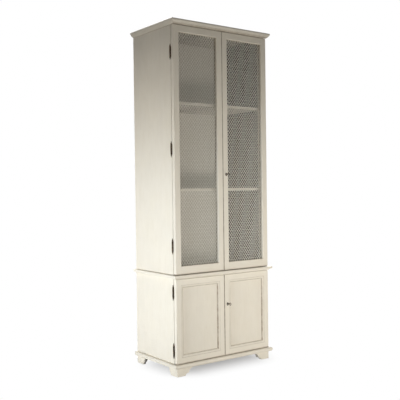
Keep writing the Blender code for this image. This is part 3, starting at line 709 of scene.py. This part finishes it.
for node in ("plinth_front", "plinth_back"):
    low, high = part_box(node)
    plinth_board(node, (low.x, high.x), (-HALF, HALF), foot_corners(FOOT_FRONT, 1),
                 lambda x, z: (x, low.y, z), (0, high.y - low.y, 0), "x")
for node in ("plinth_left", "plinth_right"):
    low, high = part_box(node)
    plinth_board(node, (low.y, high.y), (FRONT, BACK), foot_corners(FOOT_SIDE, SIDE_SHARE),
                 lambda y, z: (low.x, y, z), (high.x - low.x, 0, 0), "y")
print("plinth boards", round(PLINTH_TOP, 4), "high")

# %% [markdown]
# ## Mouldings with mitred corners
#
# Three mouldings run round the front and both sides: a rounded nose on the plinth, a nose over a cove
# at the waist, and a wide bowed nose at the top. A joiner planes one long strip and saws mitres.
# Here the profile is drawn straight in the mitre's plane, and the extruded end is mirrored to the other
# mitre, so both ends fit by themselves.

# %% Mitred strips
CASE_DEEP = BACK - CASE_FRONT               # only a strip's own long edges are longer
THIN_ROUND = 0.0007


def shade_curves(bm):
    """Shades all faces smooth, except across edges that turn sharply."""
    for face in bm.faces:
        face.smooth = True
    for edge in bm.edges:
        edge.smooth = edge.calc_face_angle(0.0) < SMOOTH_LIMIT


def moulding(name, profile, nodes, paint=case_paint):
    """Strips along the front and both sides; the profile is distance out, height and curved or not."""
    front = fresh_bmesh()
    face = rounded_face(front, profile, lambda out, z: (-HALF - out + GAP, FRONT - out, z))
    for vert in extruded(front, [face]):
        vert.co.x = -vert.co.x
    strips = [("front", front, "x")]
    for side, sign in SIDES:
        strip = fresh_bmesh()
        face = rounded_face(strip, profile, lambda out, z: (sign * (HALF + out), FRONT - out + GAP, z))
        for vert in extruded(strip, [face]):
            vert.co.y = BACK
        strips.append((side, strip, "y"))
    for (part, bm, grain), node in zip(strips, nodes):
        face_outwards(bm)
        shade_curves(bm)
        soften(bm, [edge for edge in sharp_edges(bm) if edge.calc_length() > CASE_DEEP], THIN_ROUND, 2)
        add_piece(f"{name}_{part}", bm, "cabinet", paint[grain], node)


def strip_nodes(name):
    """The three imported strips that a moulding stands for."""
    return [[f"{name}_{part}"] for part in ("front", "left", "right")]


print("strips on the sides are", round(BACK - FRONT, 4), "m long")

# %% Base moulding
BASE_HEIGHT, BASE_OUT, BASE_NOSE, BASE_ROUND, BASE_UNDERCUT = 0.0245, 0.0215, 0.011, 0.0094, 0.006
base_low = PLINTH_TOP - BASE_HEIGHT
base_profile = [(GAP, base_low, False), (BASE_OUT - BASE_UNDERCUT, base_low, False),
                (BASE_OUT, base_low + BASE_NOSE, False), (BASE_OUT, PLINTH_TOP, True),
                (BASE_OUT - BASE_ROUND, PLINTH_TOP, False), (GAP, PLINTH_TOP, False)]
moulding("base_moulding_planed", base_profile, strip_nodes("base_moulding"))
print("base moulding stands out", BASE_OUT)

# %% Waist board and its moulding
WAIST_OUT, WAIST_NOSE, WAIST_LIP, WAIST_FOOT, WAIST_ROUND = 0.023, 0.0155, 0.006, 0.0046, 0.003
nose_low, lip = WAIST_HIGH - WAIST_NOSE, WAIST_OUT - WAIST_LIP
waist_profile = [(GAP, WAIST_LOW, False), (WAIST_FOOT, WAIST_LOW, False), (WAIST_FOOT, nose_low, True),
                 (lip, nose_low, False), (WAIST_OUT - WAIST_ROUND, nose_low, False),
                 (WAIST_OUT, nose_low, True), (WAIST_OUT, nose_low + WAIST_ROUND, False),
                 (WAIST_OUT, WAIST_HIGH - WAIST_ROUND, False), (WAIST_OUT, WAIST_HIGH, True),
                 (WAIST_OUT - WAIST_ROUND, WAIST_HIGH, False), (GAP, WAIST_HIGH, False)]
moulding("waist_moulding", waist_profile, [(), (), ()])
board("waist_board_painted", (-HALF, FRONT, WAIST_LOW), (HALF, BACK, WAIST_HIGH), "cabinet", case_paint["x"],
      ["waist_board"])
print("waist moulding stands out", WAIST_OUT)

# %% Cornice
CORNICE_OUT, CORNICE_FOOT, BELLY_OUT, BELLY_RISE = 0.0235, 0.004, 0.015, 0.0065
CORNICE_RUN, CORNICE_RISE = 0.0085, 0.0095  # of its rounded top edge
cornice_profile = [(GAP, TOP_LOW, False), (CORNICE_FOOT, TOP_LOW, False),
                   (BELLY_OUT, TOP_LOW + BELLY_RISE, True), (CORNICE_OUT, HEIGHT - CORNICE_RISE, False),
                   (CORNICE_OUT, HEIGHT, True), (CORNICE_OUT - CORNICE_RUN, HEIGHT, False),
                   (GAP, HEIGHT, False)]
moulding("cornice_planed", cornice_profile, strip_nodes("cornice"), cornice_paint)
print("cornice stands out", CORNICE_OUT)

# %% [markdown]
# ## Door frames
#
# A frame is two stiles with two rails between them. One solid ring would do from afar, but the joints
# show under paint and the grain turns at them. So each stile and rail is its own bar: a profile that is
# extruded along the bar. The rails run into the stiles like tenons and lie a hair lower, which leaves
# the fine line of the joint.

# %% Bars of a frame
BAR_ROUND = 0.0009
RAIL_DROP = 0.00015      # rails lie this much inside the faces of the stiles
TENON = 0.004

chamfered_edge = [(-OPENING_CHAMFER, 0), (0, OPENING_CHAMFER), (0, MESH_SETBACK), (-MESH_REBATE, MESH_SETBACK)]
square_edge = [(0, 0), (0, PANEL_SEAT), (MOULDING_WIDTH - PANEL_REBATE, PANEL_SEAT)]


def bar_profile(width, inner_edge, drop):
    """Width and depth of a bar's corners; the inner edge is given from the bar's width."""
    thick = DOOR_BACK - FRONT
    edge = [(width + step, min(max(depth, drop), thick - drop)) for step, depth in inner_edge]
    return [(0, drop)] + edge + [(edge[-1][0], thick - drop), (0, thick - drop)]


def frame_bar(name, corners, place, shift, body, finish, replaced=()):
    """Bar along a shift, from a profile that a function places."""
    bm = fresh_bmesh()
    face = rounded_face(bm, [(u, v, False) for u, v in corners], place)
    bmesh.ops.translate(bm, vec=shift, verts=extruded(bm, [face]))
    face_outwards(bm)
    soften(bm, bm.edges, BAR_ROUND, 2)
    add_piece(name, bm, body, finish, replaced)


def door_frame(level, side, stile, rails, inner_edge):
    """Stiles and rails of one door; rails gives the lower and the upper rail's width."""
    node, body, paint = f"{level}_door_{side}_frame", f"{level}_{side}_door", door_paint[level]
    low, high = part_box(node)
    start = stile + inner_edge[0][0] - TENON
    for part, edge_x, sign in (("left", low.x, 1), ("right", high.x, -1)):
        frame_bar(f"{level}_door_{side}_stile_{part}", bar_profile(stile, inner_edge, 0),
                  lambda u, v: (edge_x + sign * u, FRONT + v, low.z), (0, 0, high.z - low.z), body, paint["z"],
                  [node] if part == "left" else ())
    for part, width, edge_z, sign in (("bottom", rails[0], low.z, 1), ("top", rails[1], high.z, -1)):
        frame_bar(f"{level}_door_{side}_rail_{part}", bar_profile(width, inner_edge, RAIL_DROP),
                  lambda u, v: (low.x + start, FRONT + v, edge_z + sign * u),
                  (high.x - low.x - 2 * start, 0, 0), body, paint["x"])


for side, _ in SIDES:
    door_frame("lower", side, LOWER_STILE, (LOWER_STILE, LOWER_STILE), square_edge)
    door_frame("upper", side, UPPER_STILE, (UPPER_BOTTOM_RAIL, UPPER_TOP_RAIL), chamfered_edge)
print("16 bars in 4 door frames")

# %% [markdown]
# ## Mitred strips round a rectangle
#
# The lower panels are held by a rounded moulding, and the mesh of the upper doors by plain beads on the
# inside. Both are four strips with mitres at the corners. One strip is drawn at the bottom of its
# rectangle, and the other three are the same drawing turned by quarters.

# %% Panel mouldings and mesh beads
BEAD_THICK = 0.0029
panel_profile = [(0, MOULDING_QUIRK, False), (MOULDING_QUIRK, MOULDING_QUIRK, False),
                 (MOULDING_WIDTH, MOULDING_QUIRK, True), (MOULDING_WIDTH, MOULDING_DEPTH, False),
                 (MOULDING_WIDTH, PANEL_SEAT, False), (0, PANEL_SEAT, False)]
bead_profile = [(GAP, 0, False), (MESH_REBATE, 0, False), (MESH_REBATE, BEAD_THICK, False),
                (GAP, BEAD_THICK, False)]


def turn(bm, verts, angle, axis):
    """Turns vertices about an axis through the origin."""
    bmesh.ops.rotate(bm, cent=(0, 0, 0), matrix=Matrix.Rotation(angle, 3, axis), verts=verts)


def mitred_ring(node, insets, y, profile):
    """Four strips round a rectangle inside a door; the profile is inset, depth and curved or not."""
    (low, high), (side, bottom, top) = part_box(node), insets
    low_x, high_x, low_z, high_z = low.x + side, high.x - side, low.z + bottom, high.z - top
    half_x, half_z = (high_x - low_x) / 2, (high_z - low_z) / 2
    bm = fresh_bmesh()
    for quarter in range(4):
        half_a, half_b = (half_x, half_z) if quarter % 2 == 0 else (half_z, half_x)
        old = set(bm.verts)
        face = rounded_face(bm, profile, lambda inset, depth: (inset - half_a, depth, inset - half_b))
        for vert in extruded(bm, [face]):
            vert.co.x = -vert.co.x
        turn(bm, newer(bm.verts, old), quarter * pi / 2, "Y")
    bmesh.ops.translate(bm, vec=((low_x + high_x) / 2, y, (low_z + high_z) / 2), verts=bm.verts)
    face_outwards(bm)
    return bm


for side, _ in SIDES:
    bm = mitred_ring(f"lower_door_{side}_frame", (LOWER_STILE,) * 3, FRONT, panel_profile)
    shade_curves(bm)
    add_piece(f"lower_door_{side}_panel_moulding", bm, f"lower_{side}_door",
              door_paint["lower"]["z"])

    rebate = [inset - MESH_REBATE for inset in MESH_INSETS]
    bm = mitred_ring(f"upper_door_{side}_frame", rebate, DOOR_BACK - BEAD_THICK, bead_profile)
    soften(bm, bm.edges, THIN_ROUND, 2)
    add_piece(f"upper_door_{side}_bead", bm, f"upper_{side}_door", door_paint["upper"]["z"])
print("panel mouldings and mesh beads on 4 doors")

# %% [markdown]
# ## Woven wire
#
# The mesh is a plain weave of flat wire set on its point, and each wire passes over and under the ones
# that it crosses. One wire is made as a straight bar with many cuts, bent into a wave and sheared to a
# slope. Copies of it up the panel make one half of the weave. The other half is the first one given
# half a turn about an upright axis, which swaps left with right and over with under, as a weave needs.

# %% Diamond mesh
DIAMOND_WIDTH, DIAMOND_HEIGHT = 0.0193, 0.0243
WIRE_WIDTH, WIRE_THICK, WIRE_WAVE = 0.0034, 0.0014, 0.0008
WIRE_SIDES, CUTS_PER_WAVE = 6, 4


def everything(bm):
    """All vertices, edges and faces."""
    return bm.verts[:] + bm.edges[:] + bm.faces[:]


def woven_mesh(side):
    """Woven wire in the rebate of one upper door."""
    node = f"upper_door_{side}_mesh"
    low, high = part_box(node)
    width, height = high.x - low.x, high.z - low.z
    waves, rows = round(width / DIAMOND_WIDTH), round(height / DIAMOND_HEIGHT)
    pitch_x, pitch_z = width / waves, height / rows
    slope = pitch_z / pitch_x
    upright = WIRE_WIDTH / 2 * (1 + slope ** 2) ** 0.5       # a sheared bar is thinner than it was
    bm = fresh_bmesh()
    at_end = Matrix.Translation((-width / 2, 0, 0)) @ Matrix.Rotation(pi / 2, 4, "Y")
    bmesh.ops.create_circle(bm, cap_ends=True, segments=WIRE_SIDES, radius=1.0, matrix=at_end)
    bmesh.ops.scale(bm, vec=(1, WIRE_THICK / 2, upright), verts=bm.verts)
    bmesh.ops.translate(bm, vec=(width, 0, 0), verts=extruded(bm, bm.faces[:]))
    lengthwise = [edge for edge in bm.edges if abs(edge.verts[0].co.x - edge.verts[1].co.x) > width / 2]
    bmesh.ops.subdivide_edges(bm, edges=lengthwise, cuts=waves * CUTS_PER_WAVE - 1, use_grid_fill=True)
    for vert in bm.verts:
        vert.co.y += WIRE_WAVE * cos(2 * pi * vert.co.x / pitch_x)
        vert.co.z += slope * vert.co.x
    face_outwards(bm)

    wire = everything(bm)
    reach = ceil((height / 2 + slope * width / 2) / pitch_z)
    for row in [row for row in range(-reach, reach + 1) if row]:
        copied = verts_in(bmesh.ops.duplicate(bm, geom=wire)["geom"])
        bmesh.ops.translate(bm, vec=(0, 0, row * pitch_z), verts=copied)
    for end in (-1, 1):
        bmesh.ops.bisect_plane(bm, geom=everything(bm), dist=SAME_PLACE, plane_co=(0, 0, end * height / 2),
                               plane_no=(0, 0, end), clear_outer=True)
    bmesh.ops.holes_fill(bm, edges=[edge for edge in bm.edges if edge.is_boundary], sides=0)
    turn(bm, verts_in(bmesh.ops.duplicate(bm, geom=everything(bm))["geom"]), pi, "Z")
    seat = FRONT + MESH_SETBACK + WIRE_WAVE + WIRE_THICK / 2
    bmesh.ops.translate(bm, vec=((low.x + high.x) / 2, seat, (low.z + high.z) / 2), verts=bm.verts)
    shade_curves(bm)
    print(node, waves, "by", rows, "diamonds,", len(bm.faces), "faces")
    add_piece(f"{node}_woven", bm, f"upper_{side}_door", wire_finish, [node])


for side, _ in SIDES:
    woven_mesh(side)

# %% [markdown]
# ## Spindle hinges
#
# Each door hangs on lift-off hinges. The lower half stands on the case and carries the pin, the upper
# half turns with the door, and both end in a small finial. Turned work like this is a profile spun
# about its axis. The leaves lie flat in the gap behind the door and are held by slotted screws.

# %% Turned shapes and slotted screws
SPIN_STEPS = 24
SPIN_MERGE = 0.000005    # vertices on the axis that are nearer than this are merged
SCREW_SIDES, SCREW_TOP = 12, 0.86           # facets, and the top's size against the foot's
SCREW_SLOT, SCREW_SLOT_DEEP = 0.13, 0.6     # half the slot against the radius, its depth against the height
UPWARD = 0.9             # least height of the normal of a face that looks up


def spun(bm, profile, centre):
    """Turned shape from radius and height, about an upright axis."""
    verts = [bm.verts.new((centre.x + radius, centre.y, centre.z + height)) for radius, height in profile]
    edges = [bm.edges.new(pair) for pair in zip(verts, verts[1:])]
    bmesh.ops.spin(bm, geom=verts + edges, cent=centre, axis=(0, 0, 1), angle=2 * pi, steps=SPIN_STEPS,
                   use_merge=True)
    bmesh.ops.remove_doubles(bm, verts=bm.verts, dist=SPIN_MERGE)
    face_outwards(bm)


def slotted_screw(bm, centre, facing, radius, height):
    """Low screw head with a slot, facing along a vector."""
    rim = bmesh.ops.create_circle(bm, cap_ends=True, segments=SCREW_SIDES, radius=radius)["verts"]
    foot = rim[0].link_faces[0]
    old = set(bm.faces) - {foot}
    top = extruded(bm, [foot])
    bmesh.ops.translate(bm, vec=(0, 0, height), verts=top)
    bmesh.ops.scale(bm, vec=(SCREW_TOP, SCREW_TOP, 1), verts=top)
    for offset in (-SCREW_SLOT, SCREW_SLOT):
        head = [item for face in newer(bm.faces, old) for item in (face, *face.edges, *face.verts)]
        bmesh.ops.bisect_plane(bm, geom=list(dict.fromkeys(head)), plane_co=(offset * radius, 0, 0),
                               plane_no=(1, 0, 0))
    slot = [face for face in newer(bm.faces, old)
            if face.normal.z > UPWARD and abs(face.calc_center_median().x) < SCREW_SLOT * radius]
    sunk = extruded(bm, slot)
    bmesh.ops.delete(bm, geom=slot, context="FACES_ONLY")
    bmesh.ops.translate(bm, vec=(0, 0, -height * SCREW_SLOT_DEEP), verts=sunk)
    verts = list({vert for face in newer(bm.faces, old) for vert in face.verts})
    towards = Vector((0, 0, 1)).rotation_difference(Vector(facing)).to_matrix()
    bmesh.ops.rotate(bm, cent=(0, 0, 0), matrix=towards, verts=verts)
    bmesh.ops.translate(bm, vec=centre, verts=verts)


print("turned shapes have", SPIN_STEPS, "sides")

# %% Hinge halves with leaves
HINGE_HALF = 0.051
BARREL, SHOULDER, TAPER, NECK, BALL = 0.0052, 0.0049, 0.0034, 0.0016, 0.0023
HINGE_PIN, PIN_LENGTH, PIN_PLAY = 0.0024, 0.018, 0.0003
LEAF_START, LEAF_REACH, LEAF_HEIGHT = 0.8 * BARREL, 0.0238, 0.032
LEAF_INSIDE, LEAF_OUTSIDE = 0.0002, 0.0014  # its two faces, from the middle of the gap
LEAF_SCREW, LEAF_SCREW_RISE, LEAF_SCREW_IN = 0.0026, 0.00015, 0.0155
LEAF_SCREW_SHARES = (0.25, 0.75)            # of the leaf's height
SMALL_ROUND = 0.0003
hinge_counts = {"lower": 2, "upper": 3}
swelling = [(BARREL - 0.0004, GAP / 2), (BARREL, 0.0006), (BARREL, 0.0022), (BARREL - 0.0005, 0.0027),
            (BARREL - 0.0001, 0.0034), (SHOULDER, 0.024), (TAPER + 0.0006, 0.0360), (TAPER, 0.0388),
            (TAPER + 0.0005, 0.0394), (TAPER + 0.0005, 0.0404), (NECK + 0.0006, 0.0412), (NECK, 0.0436),
            (BALL - 0.0004, 0.0448), (BALL, 0.0461), (BALL - 0.0005, 0.0476), (0.0008, 0.0490), (0, HINGE_HALF)]


def edges_at(verts):
    """The edges at some vertices, each of them once."""
    return list(dict.fromkeys(edge for vert in verts for edge in vert.link_edges))


def hinge_half(node, body, sign, half):
    """One half of a hinge, with its leaf and two screws."""
    low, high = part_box(node)
    middle = low.z + HINGE_HALF if half == "case" else high.z - HINGE_HALF
    outer = low.x if sign < 0 else high.x
    centre = Vector((outer - sign * BARREL, SHADOW_GAP_Y, middle))
    bm = fresh_bmesh()
    if half == "case":
        pin = [(0, PIN_LENGTH), (HINGE_PIN - 0.0006, PIN_LENGTH), (HINGE_PIN, PIN_LENGTH - 0.0008),
               (HINGE_PIN, -GAP / 2)]
        spun(bm, pin + [(radius, -height) for radius, height in swelling], centre)
    else:
        bore = HINGE_PIN + PIN_PLAY
        socket = [(bore, GAP / 2), (bore, PIN_LENGTH + PIN_PLAY), (0, PIN_LENGTH + PIN_PLAY)]
        spun(bm, swelling[::-1] + socket, centre)
    shade_curves(bm)
    facing, foot = (-1, -LEAF_HEIGHT - GAP) if half == "case" else (1, GAP)
    depths = sorted(-facing * depth for depth in (LEAF_INSIDE, LEAF_OUTSIDE))
    reaches = sorted(-sign * reach for reach in (LEAF_START, LEAF_REACH))
    leaf_low = centre + Vector((reaches[0], depths[0], foot))
    leaf_high = centre + Vector((reaches[1], depths[1], foot + LEAF_HEIGHT))
    soften(bm, edges_at(box_in(bm, leaf_low, leaf_high)), SMALL_ROUND, 1)
    for share in LEAF_SCREW_SHARES:
        place = centre + Vector((-sign * LEAF_SCREW_IN, -facing * LEAF_INSIDE, foot + share * LEAF_HEIGHT))
        slotted_screw(bm, place, (0, facing, 0), LEAF_SCREW, LEAF_SCREW_RISE)
    add_piece(f"{node}_turned", bm, body, bronze, [node])


for level in LEVELS:
    for side, sign in SIDES:
        for number in range(1, hinge_counts[level] + 1):
            hinge_half(f"hinge_{level}_{side}_{number}_case", "cabinet", sign, "case")
            hinge_half(f"hinge_{level}_{side}_{number}_door", f"{level}_{side}_door", sign, "door")
print(len(SIDES) * sum(hinge_counts.values()), "hinges")

# %% [markdown]
# ## Keys and escutcheons
#
# A key stays in each right door. Its ring is a small circle spun about the key's own side axis, its
# stem and collar are turned, and its bit is a notched plate. Round the keyhole lies a small oval plate:
# an oval and a keyhole outline, bridged into a face and given thickness.

# %% Keys
BOW, BOW_WIRE, BOW_SIDES, STEM, COLLAR = 0.008, 0.0019, 12, 0.0023, 0.0037
STEM_IN_BOW = 0.6 * BOW_WIRE                # how far the stem runs into the ring
BIT_WIDTH, BIT_DEPTH, BIT_INSET = 0.0022, 0.00231, 0.0006
BIT_TEETH = ((0.0, 0.0072), (0.0028, 0.005616))         # distance from the bit's end, and reach
key_places = {}


def turned_key(level):
    """Key with a ring bow, a collared stem along Y and a bit."""
    node = f"{level}_key"
    low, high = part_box(node)
    x, z = (low.x + high.x) / 2, high.z - BOW - BOW_WIRE
    key_places[level] = Vector((x, FRONT, z))
    bow_y = low.y + BOW + BOW_WIRE
    start = bow_y + BOW - STEM_IN_BOW
    length = high.y - start
    bm = fresh_bmesh()
    stem = [(0, 0), (STEM, 0.0), (STEM, 0.003), (COLLAR, 0.0036), (COLLAR, 0.0050), (STEM + 0.0004, 0.0056),
            (COLLAR - 0.0006, 0.0064), (STEM, 0.0074), (STEM, length - 0.0008), (STEM - 0.0008, length),
            (0, length)]
    spun(bm, stem, Vector((0, 0, 0)))
    turn(bm, bm.verts, -pi / 2, "X")
    bmesh.ops.translate(bm, vec=(x, start, z), verts=bm.verts)
    old = set(bm.verts)
    ring = bmesh.ops.create_circle(bm, segments=BOW_SIDES, radius=BOW_WIRE,
                                   matrix=Matrix.Translation((x, bow_y + BOW, z)))["verts"]
    bmesh.ops.spin(bm, geom=ring + edges_at(ring), cent=(x, bow_y, z), axis=(1, 0, 0), angle=2 * pi,
                   steps=2 * SPIN_STEPS, use_merge=True)
    bmesh.ops.remove_doubles(bm, verts=newer(bm.verts, old), dist=SPIN_MERGE)
    face_outwards(bm)
    shade_curves(bm)
    for shift, reach in BIT_TEETH:
        end = high.y - BIT_INSET - shift
        tooth = box_in(bm, Vector((x - BIT_WIDTH / 2, end - BIT_DEPTH, z - reach)),
                       Vector((x + BIT_WIDTH / 2, end, z)))
        soften(bm, edges_at(tooth), SMALL_ROUND, 1)
    add_piece(f"{node}_turned", bm, f"{level}_turning_key", key_metal, [node])


for level in LEVELS:
    turned_key(level)
print("keys at", {level: [round(v, 4) for v in place] for level, place in key_places.items()})

# %% Escutcheons
PLATE_HALF_WIDTH, PLATE_HALF_HEIGHT, PLATE_THICK, PLATE_ROUND = 0.0072, 0.0108, 0.0011, 0.0004
PLATE_DROP = 0.0022      # of the plate's middle, below the key
PLATE_SIDES = 40
PLATE_SCREW, PLATE_SCREW_RISE, PLATE_SCREW_INSET = 0.0011, 0.0004, 0.0020
HOLE_RADIUS, SLOT_HALF, SLOT_FOOT = 0.0030, 0.0016, 0.0078
SLOT_SHARE = 0.62        # of the hole's width, which is drawn down to the slot's foot


def escutcheon(level):
    """Oval plate with a keyhole on the face of a right door."""
    bm = fresh_bmesh()
    upright = Matrix.Rotation(pi / 2, 4, "X")
    rim = bmesh.ops.create_circle(bm, segments=PLATE_SIDES, radius=1.0, matrix=upright)["verts"]
    bmesh.ops.scale(bm, vec=(PLATE_HALF_WIDTH, 1, PLATE_HALF_HEIGHT), verts=rim)
    hole = bmesh.ops.create_circle(bm, segments=PLATE_SIDES, radius=HOLE_RADIUS, matrix=upright)["verts"]
    for vert in hole:
        if vert.co.z < 0 and abs(vert.co.x) < HOLE_RADIUS * SLOT_SHARE:
            vert.co.x = max(-SLOT_HALF, min(SLOT_HALF, vert.co.x))
            if abs(vert.co.x) < SLOT_HALF * 0.99:
                vert.co.z = -SLOT_FOOT
    bmesh.ops.translate(bm, vec=(0, 0, -PLATE_DROP), verts=rim)
    bridged = bmesh.ops.bridge_loops(bm, edges=bm.edges)["faces"]
    bmesh.ops.translate(bm, vec=(0, -PLATE_THICK, 0), verts=extruded(bm, bridged))
    face_outwards(bm)
    outer = [edge for edge in sharp_edges(bm) if all(vert.co.y < -PLATE_THICK / 2 for vert in edge.verts)]
    soften(bm, outer, PLATE_ROUND, 2)
    bmesh.ops.translate(bm, vec=key_places[level], verts=bm.verts)
    for sign in (1, -1):
        rise = sign * (PLATE_HALF_HEIGHT - PLATE_SCREW_INSET) - PLATE_DROP
        place = key_places[level] + Vector((0, -PLATE_THICK, rise))
        slotted_screw(bm, place, (0, -1, 0), PLATE_SCREW, PLATE_SCREW_RISE)
    add_piece(f"{level}_escutcheon", bm, f"{level}_right_door", bronze)


for level in LEVELS:
    escutcheon(level)
print("escutcheons", 2 * PLATE_HALF_WIDTH, "by", 2 * PLATE_HALF_HEIGHT)

# %% [markdown]
# ## Locks, catches and small fixings
#
# The locks, bolts and magnet catches have the right shape already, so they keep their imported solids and
# only get a finish. What holds them is added: screws in the lock cases, strike plates on the left doors,
# shelf pins, and the brads that fix the backs.

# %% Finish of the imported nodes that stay
kept_finishes = {f"{level}_{part}": finish for level in LEVELS for part, finish in
                 (("lock_case", bronze), ("lock_bolt", steel), ("magnet_catch", bronze))}
for node, finish in kept_finishes.items():
    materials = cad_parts[node].data.materials
    materials.clear()
    materials.append(finish)
print("finished as packed:", list(kept_finishes))

# %% Screws and strike plates
LOCK_SCREW, LOCK_SCREW_RISE, LOCK_SCREW_INSET = 0.0019, 0.0007, 0.0035
STRIKE_HEIGHT, STRIKE_THICK, STRIKE_ROUND = 0.010, 0.0005, 0.003
STRIKE_SIDE, STRIKE_DROP = 0.004, 0.0020    # in from the catch's ends, and down from the door's top
for level in LEVELS:
    low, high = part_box(f"{level}_lock_case")
    bm = fresh_bmesh()
    for x in (low.x + LOCK_SCREW_INSET, high.x - LOCK_SCREW_INSET):
        for z in (low.z + LOCK_SCREW_INSET, high.z - LOCK_SCREW_INSET):
            slotted_screw(bm, Vector((x, high.y, z)), (0, 1, 0), LOCK_SCREW, LOCK_SCREW_RISE)
    add_piece(f"{level}_lock_screws", bm, f"{level}_right_door", steel)

    low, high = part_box(f"{level}_magnet_catch")
    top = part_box(f"{level}_door_left_frame")[1].z - STRIKE_DROP
    bm = fresh_bmesh()
    box_in(bm, Vector((low.x + STRIKE_SIDE, DOOR_BACK, top - STRIKE_HEIGHT)),
           Vector((high.x - STRIKE_SIDE, DOOR_BACK + STRIKE_THICK, top)))
    corners = [edge for edge in bm.edges if abs(edge.verts[0].co.y - edge.verts[1].co.y) > STRIKE_THICK / 2]
    soften(bm, corners, STRIKE_ROUND, 4)
    add_piece(f"{level}_strike_plate", bm, f"{level}_left_door", steel)
print("locks, screws and strike plates")

# %% Shelf pins and back brads
STUD_HEAD, STUD_STEM, STUD_LENGTH, STUD_DROP = 0.0042, 0.0025, 0.0098, 0.0043
STUD_FROM_FRONT, STUD_FROM_BACK = 0.050, 0.060
stud = [(0, 0.0), (STUD_HEAD, 0.0), (STUD_HEAD, 0.0012), (STUD_STEM, 0.0016),
        (STUD_STEM, STUD_LENGTH - 0.0008), (STUD_STEM - 0.0006, STUD_LENGTH), (0, STUD_LENGTH)]
for node in ("lower_shelf", "upper_shelf_low", "upper_shelf_high"):
    low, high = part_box(node)
    bm = fresh_bmesh()
    for x, sign in ((low.x, 1), (high.x, -1)):
        for y in (low.y + STUD_FROM_FRONT, high.y - STUD_FROM_BACK):
            old = set(bm.verts)
            spun(bm, stud, Vector((0, 0, 0)))
            fresh = newer(bm.verts, old)
            turn(bm, fresh, sign * pi / 2, "Y")
            bmesh.ops.translate(bm, vec=(x - sign * GAP, y, low.z - STUD_DROP), verts=fresh)
    shade_curves(bm)
    add_piece(f"{node}_pins", bm, "cabinet", bronze)

BRAD_STEP, BRAD_INSET, BRAD_FOOT, BRAD_TOP, BRAD_SIDES = 0.13, 0.012, 0.0024, 0.00144, 10
BRAD_DEPTH = 1.98 * BRAD_RISE               # about half of it is in the back
for level in LEVELS:
    low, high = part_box(f"{level}_back")
    bm = fresh_bmesh()
    columns, rows = [max(2, round(span / BRAD_STEP)) for span in (high.x - low.x, high.z - low.z)]
    for column in range(columns + 1):
        for row in range(rows + 1):
            if column in (0, columns) or row in (0, rows):
                x = low.x + BRAD_INSET + (high.x - low.x - 2 * BRAD_INSET) * column / columns
                z = low.z + BRAD_INSET + (high.z - low.z - 2 * BRAD_INSET) * row / rows
                on_back = Matrix.Translation((x, high.y - BRAD_RISE, z)) @ Matrix.Rotation(-pi / 2, 4, "X")
                bmesh.ops.create_cone(bm, cap_ends=True, segments=BRAD_SIDES, radius1=BRAD_FOOT,
                                      radius2=BRAD_TOP, depth=BRAD_DEPTH, matrix=on_back)
    shade_curves(bm)
    add_piece(f"{level}_back_brads", bm, "cabinet", bronze)
print("shelf pins and brads")
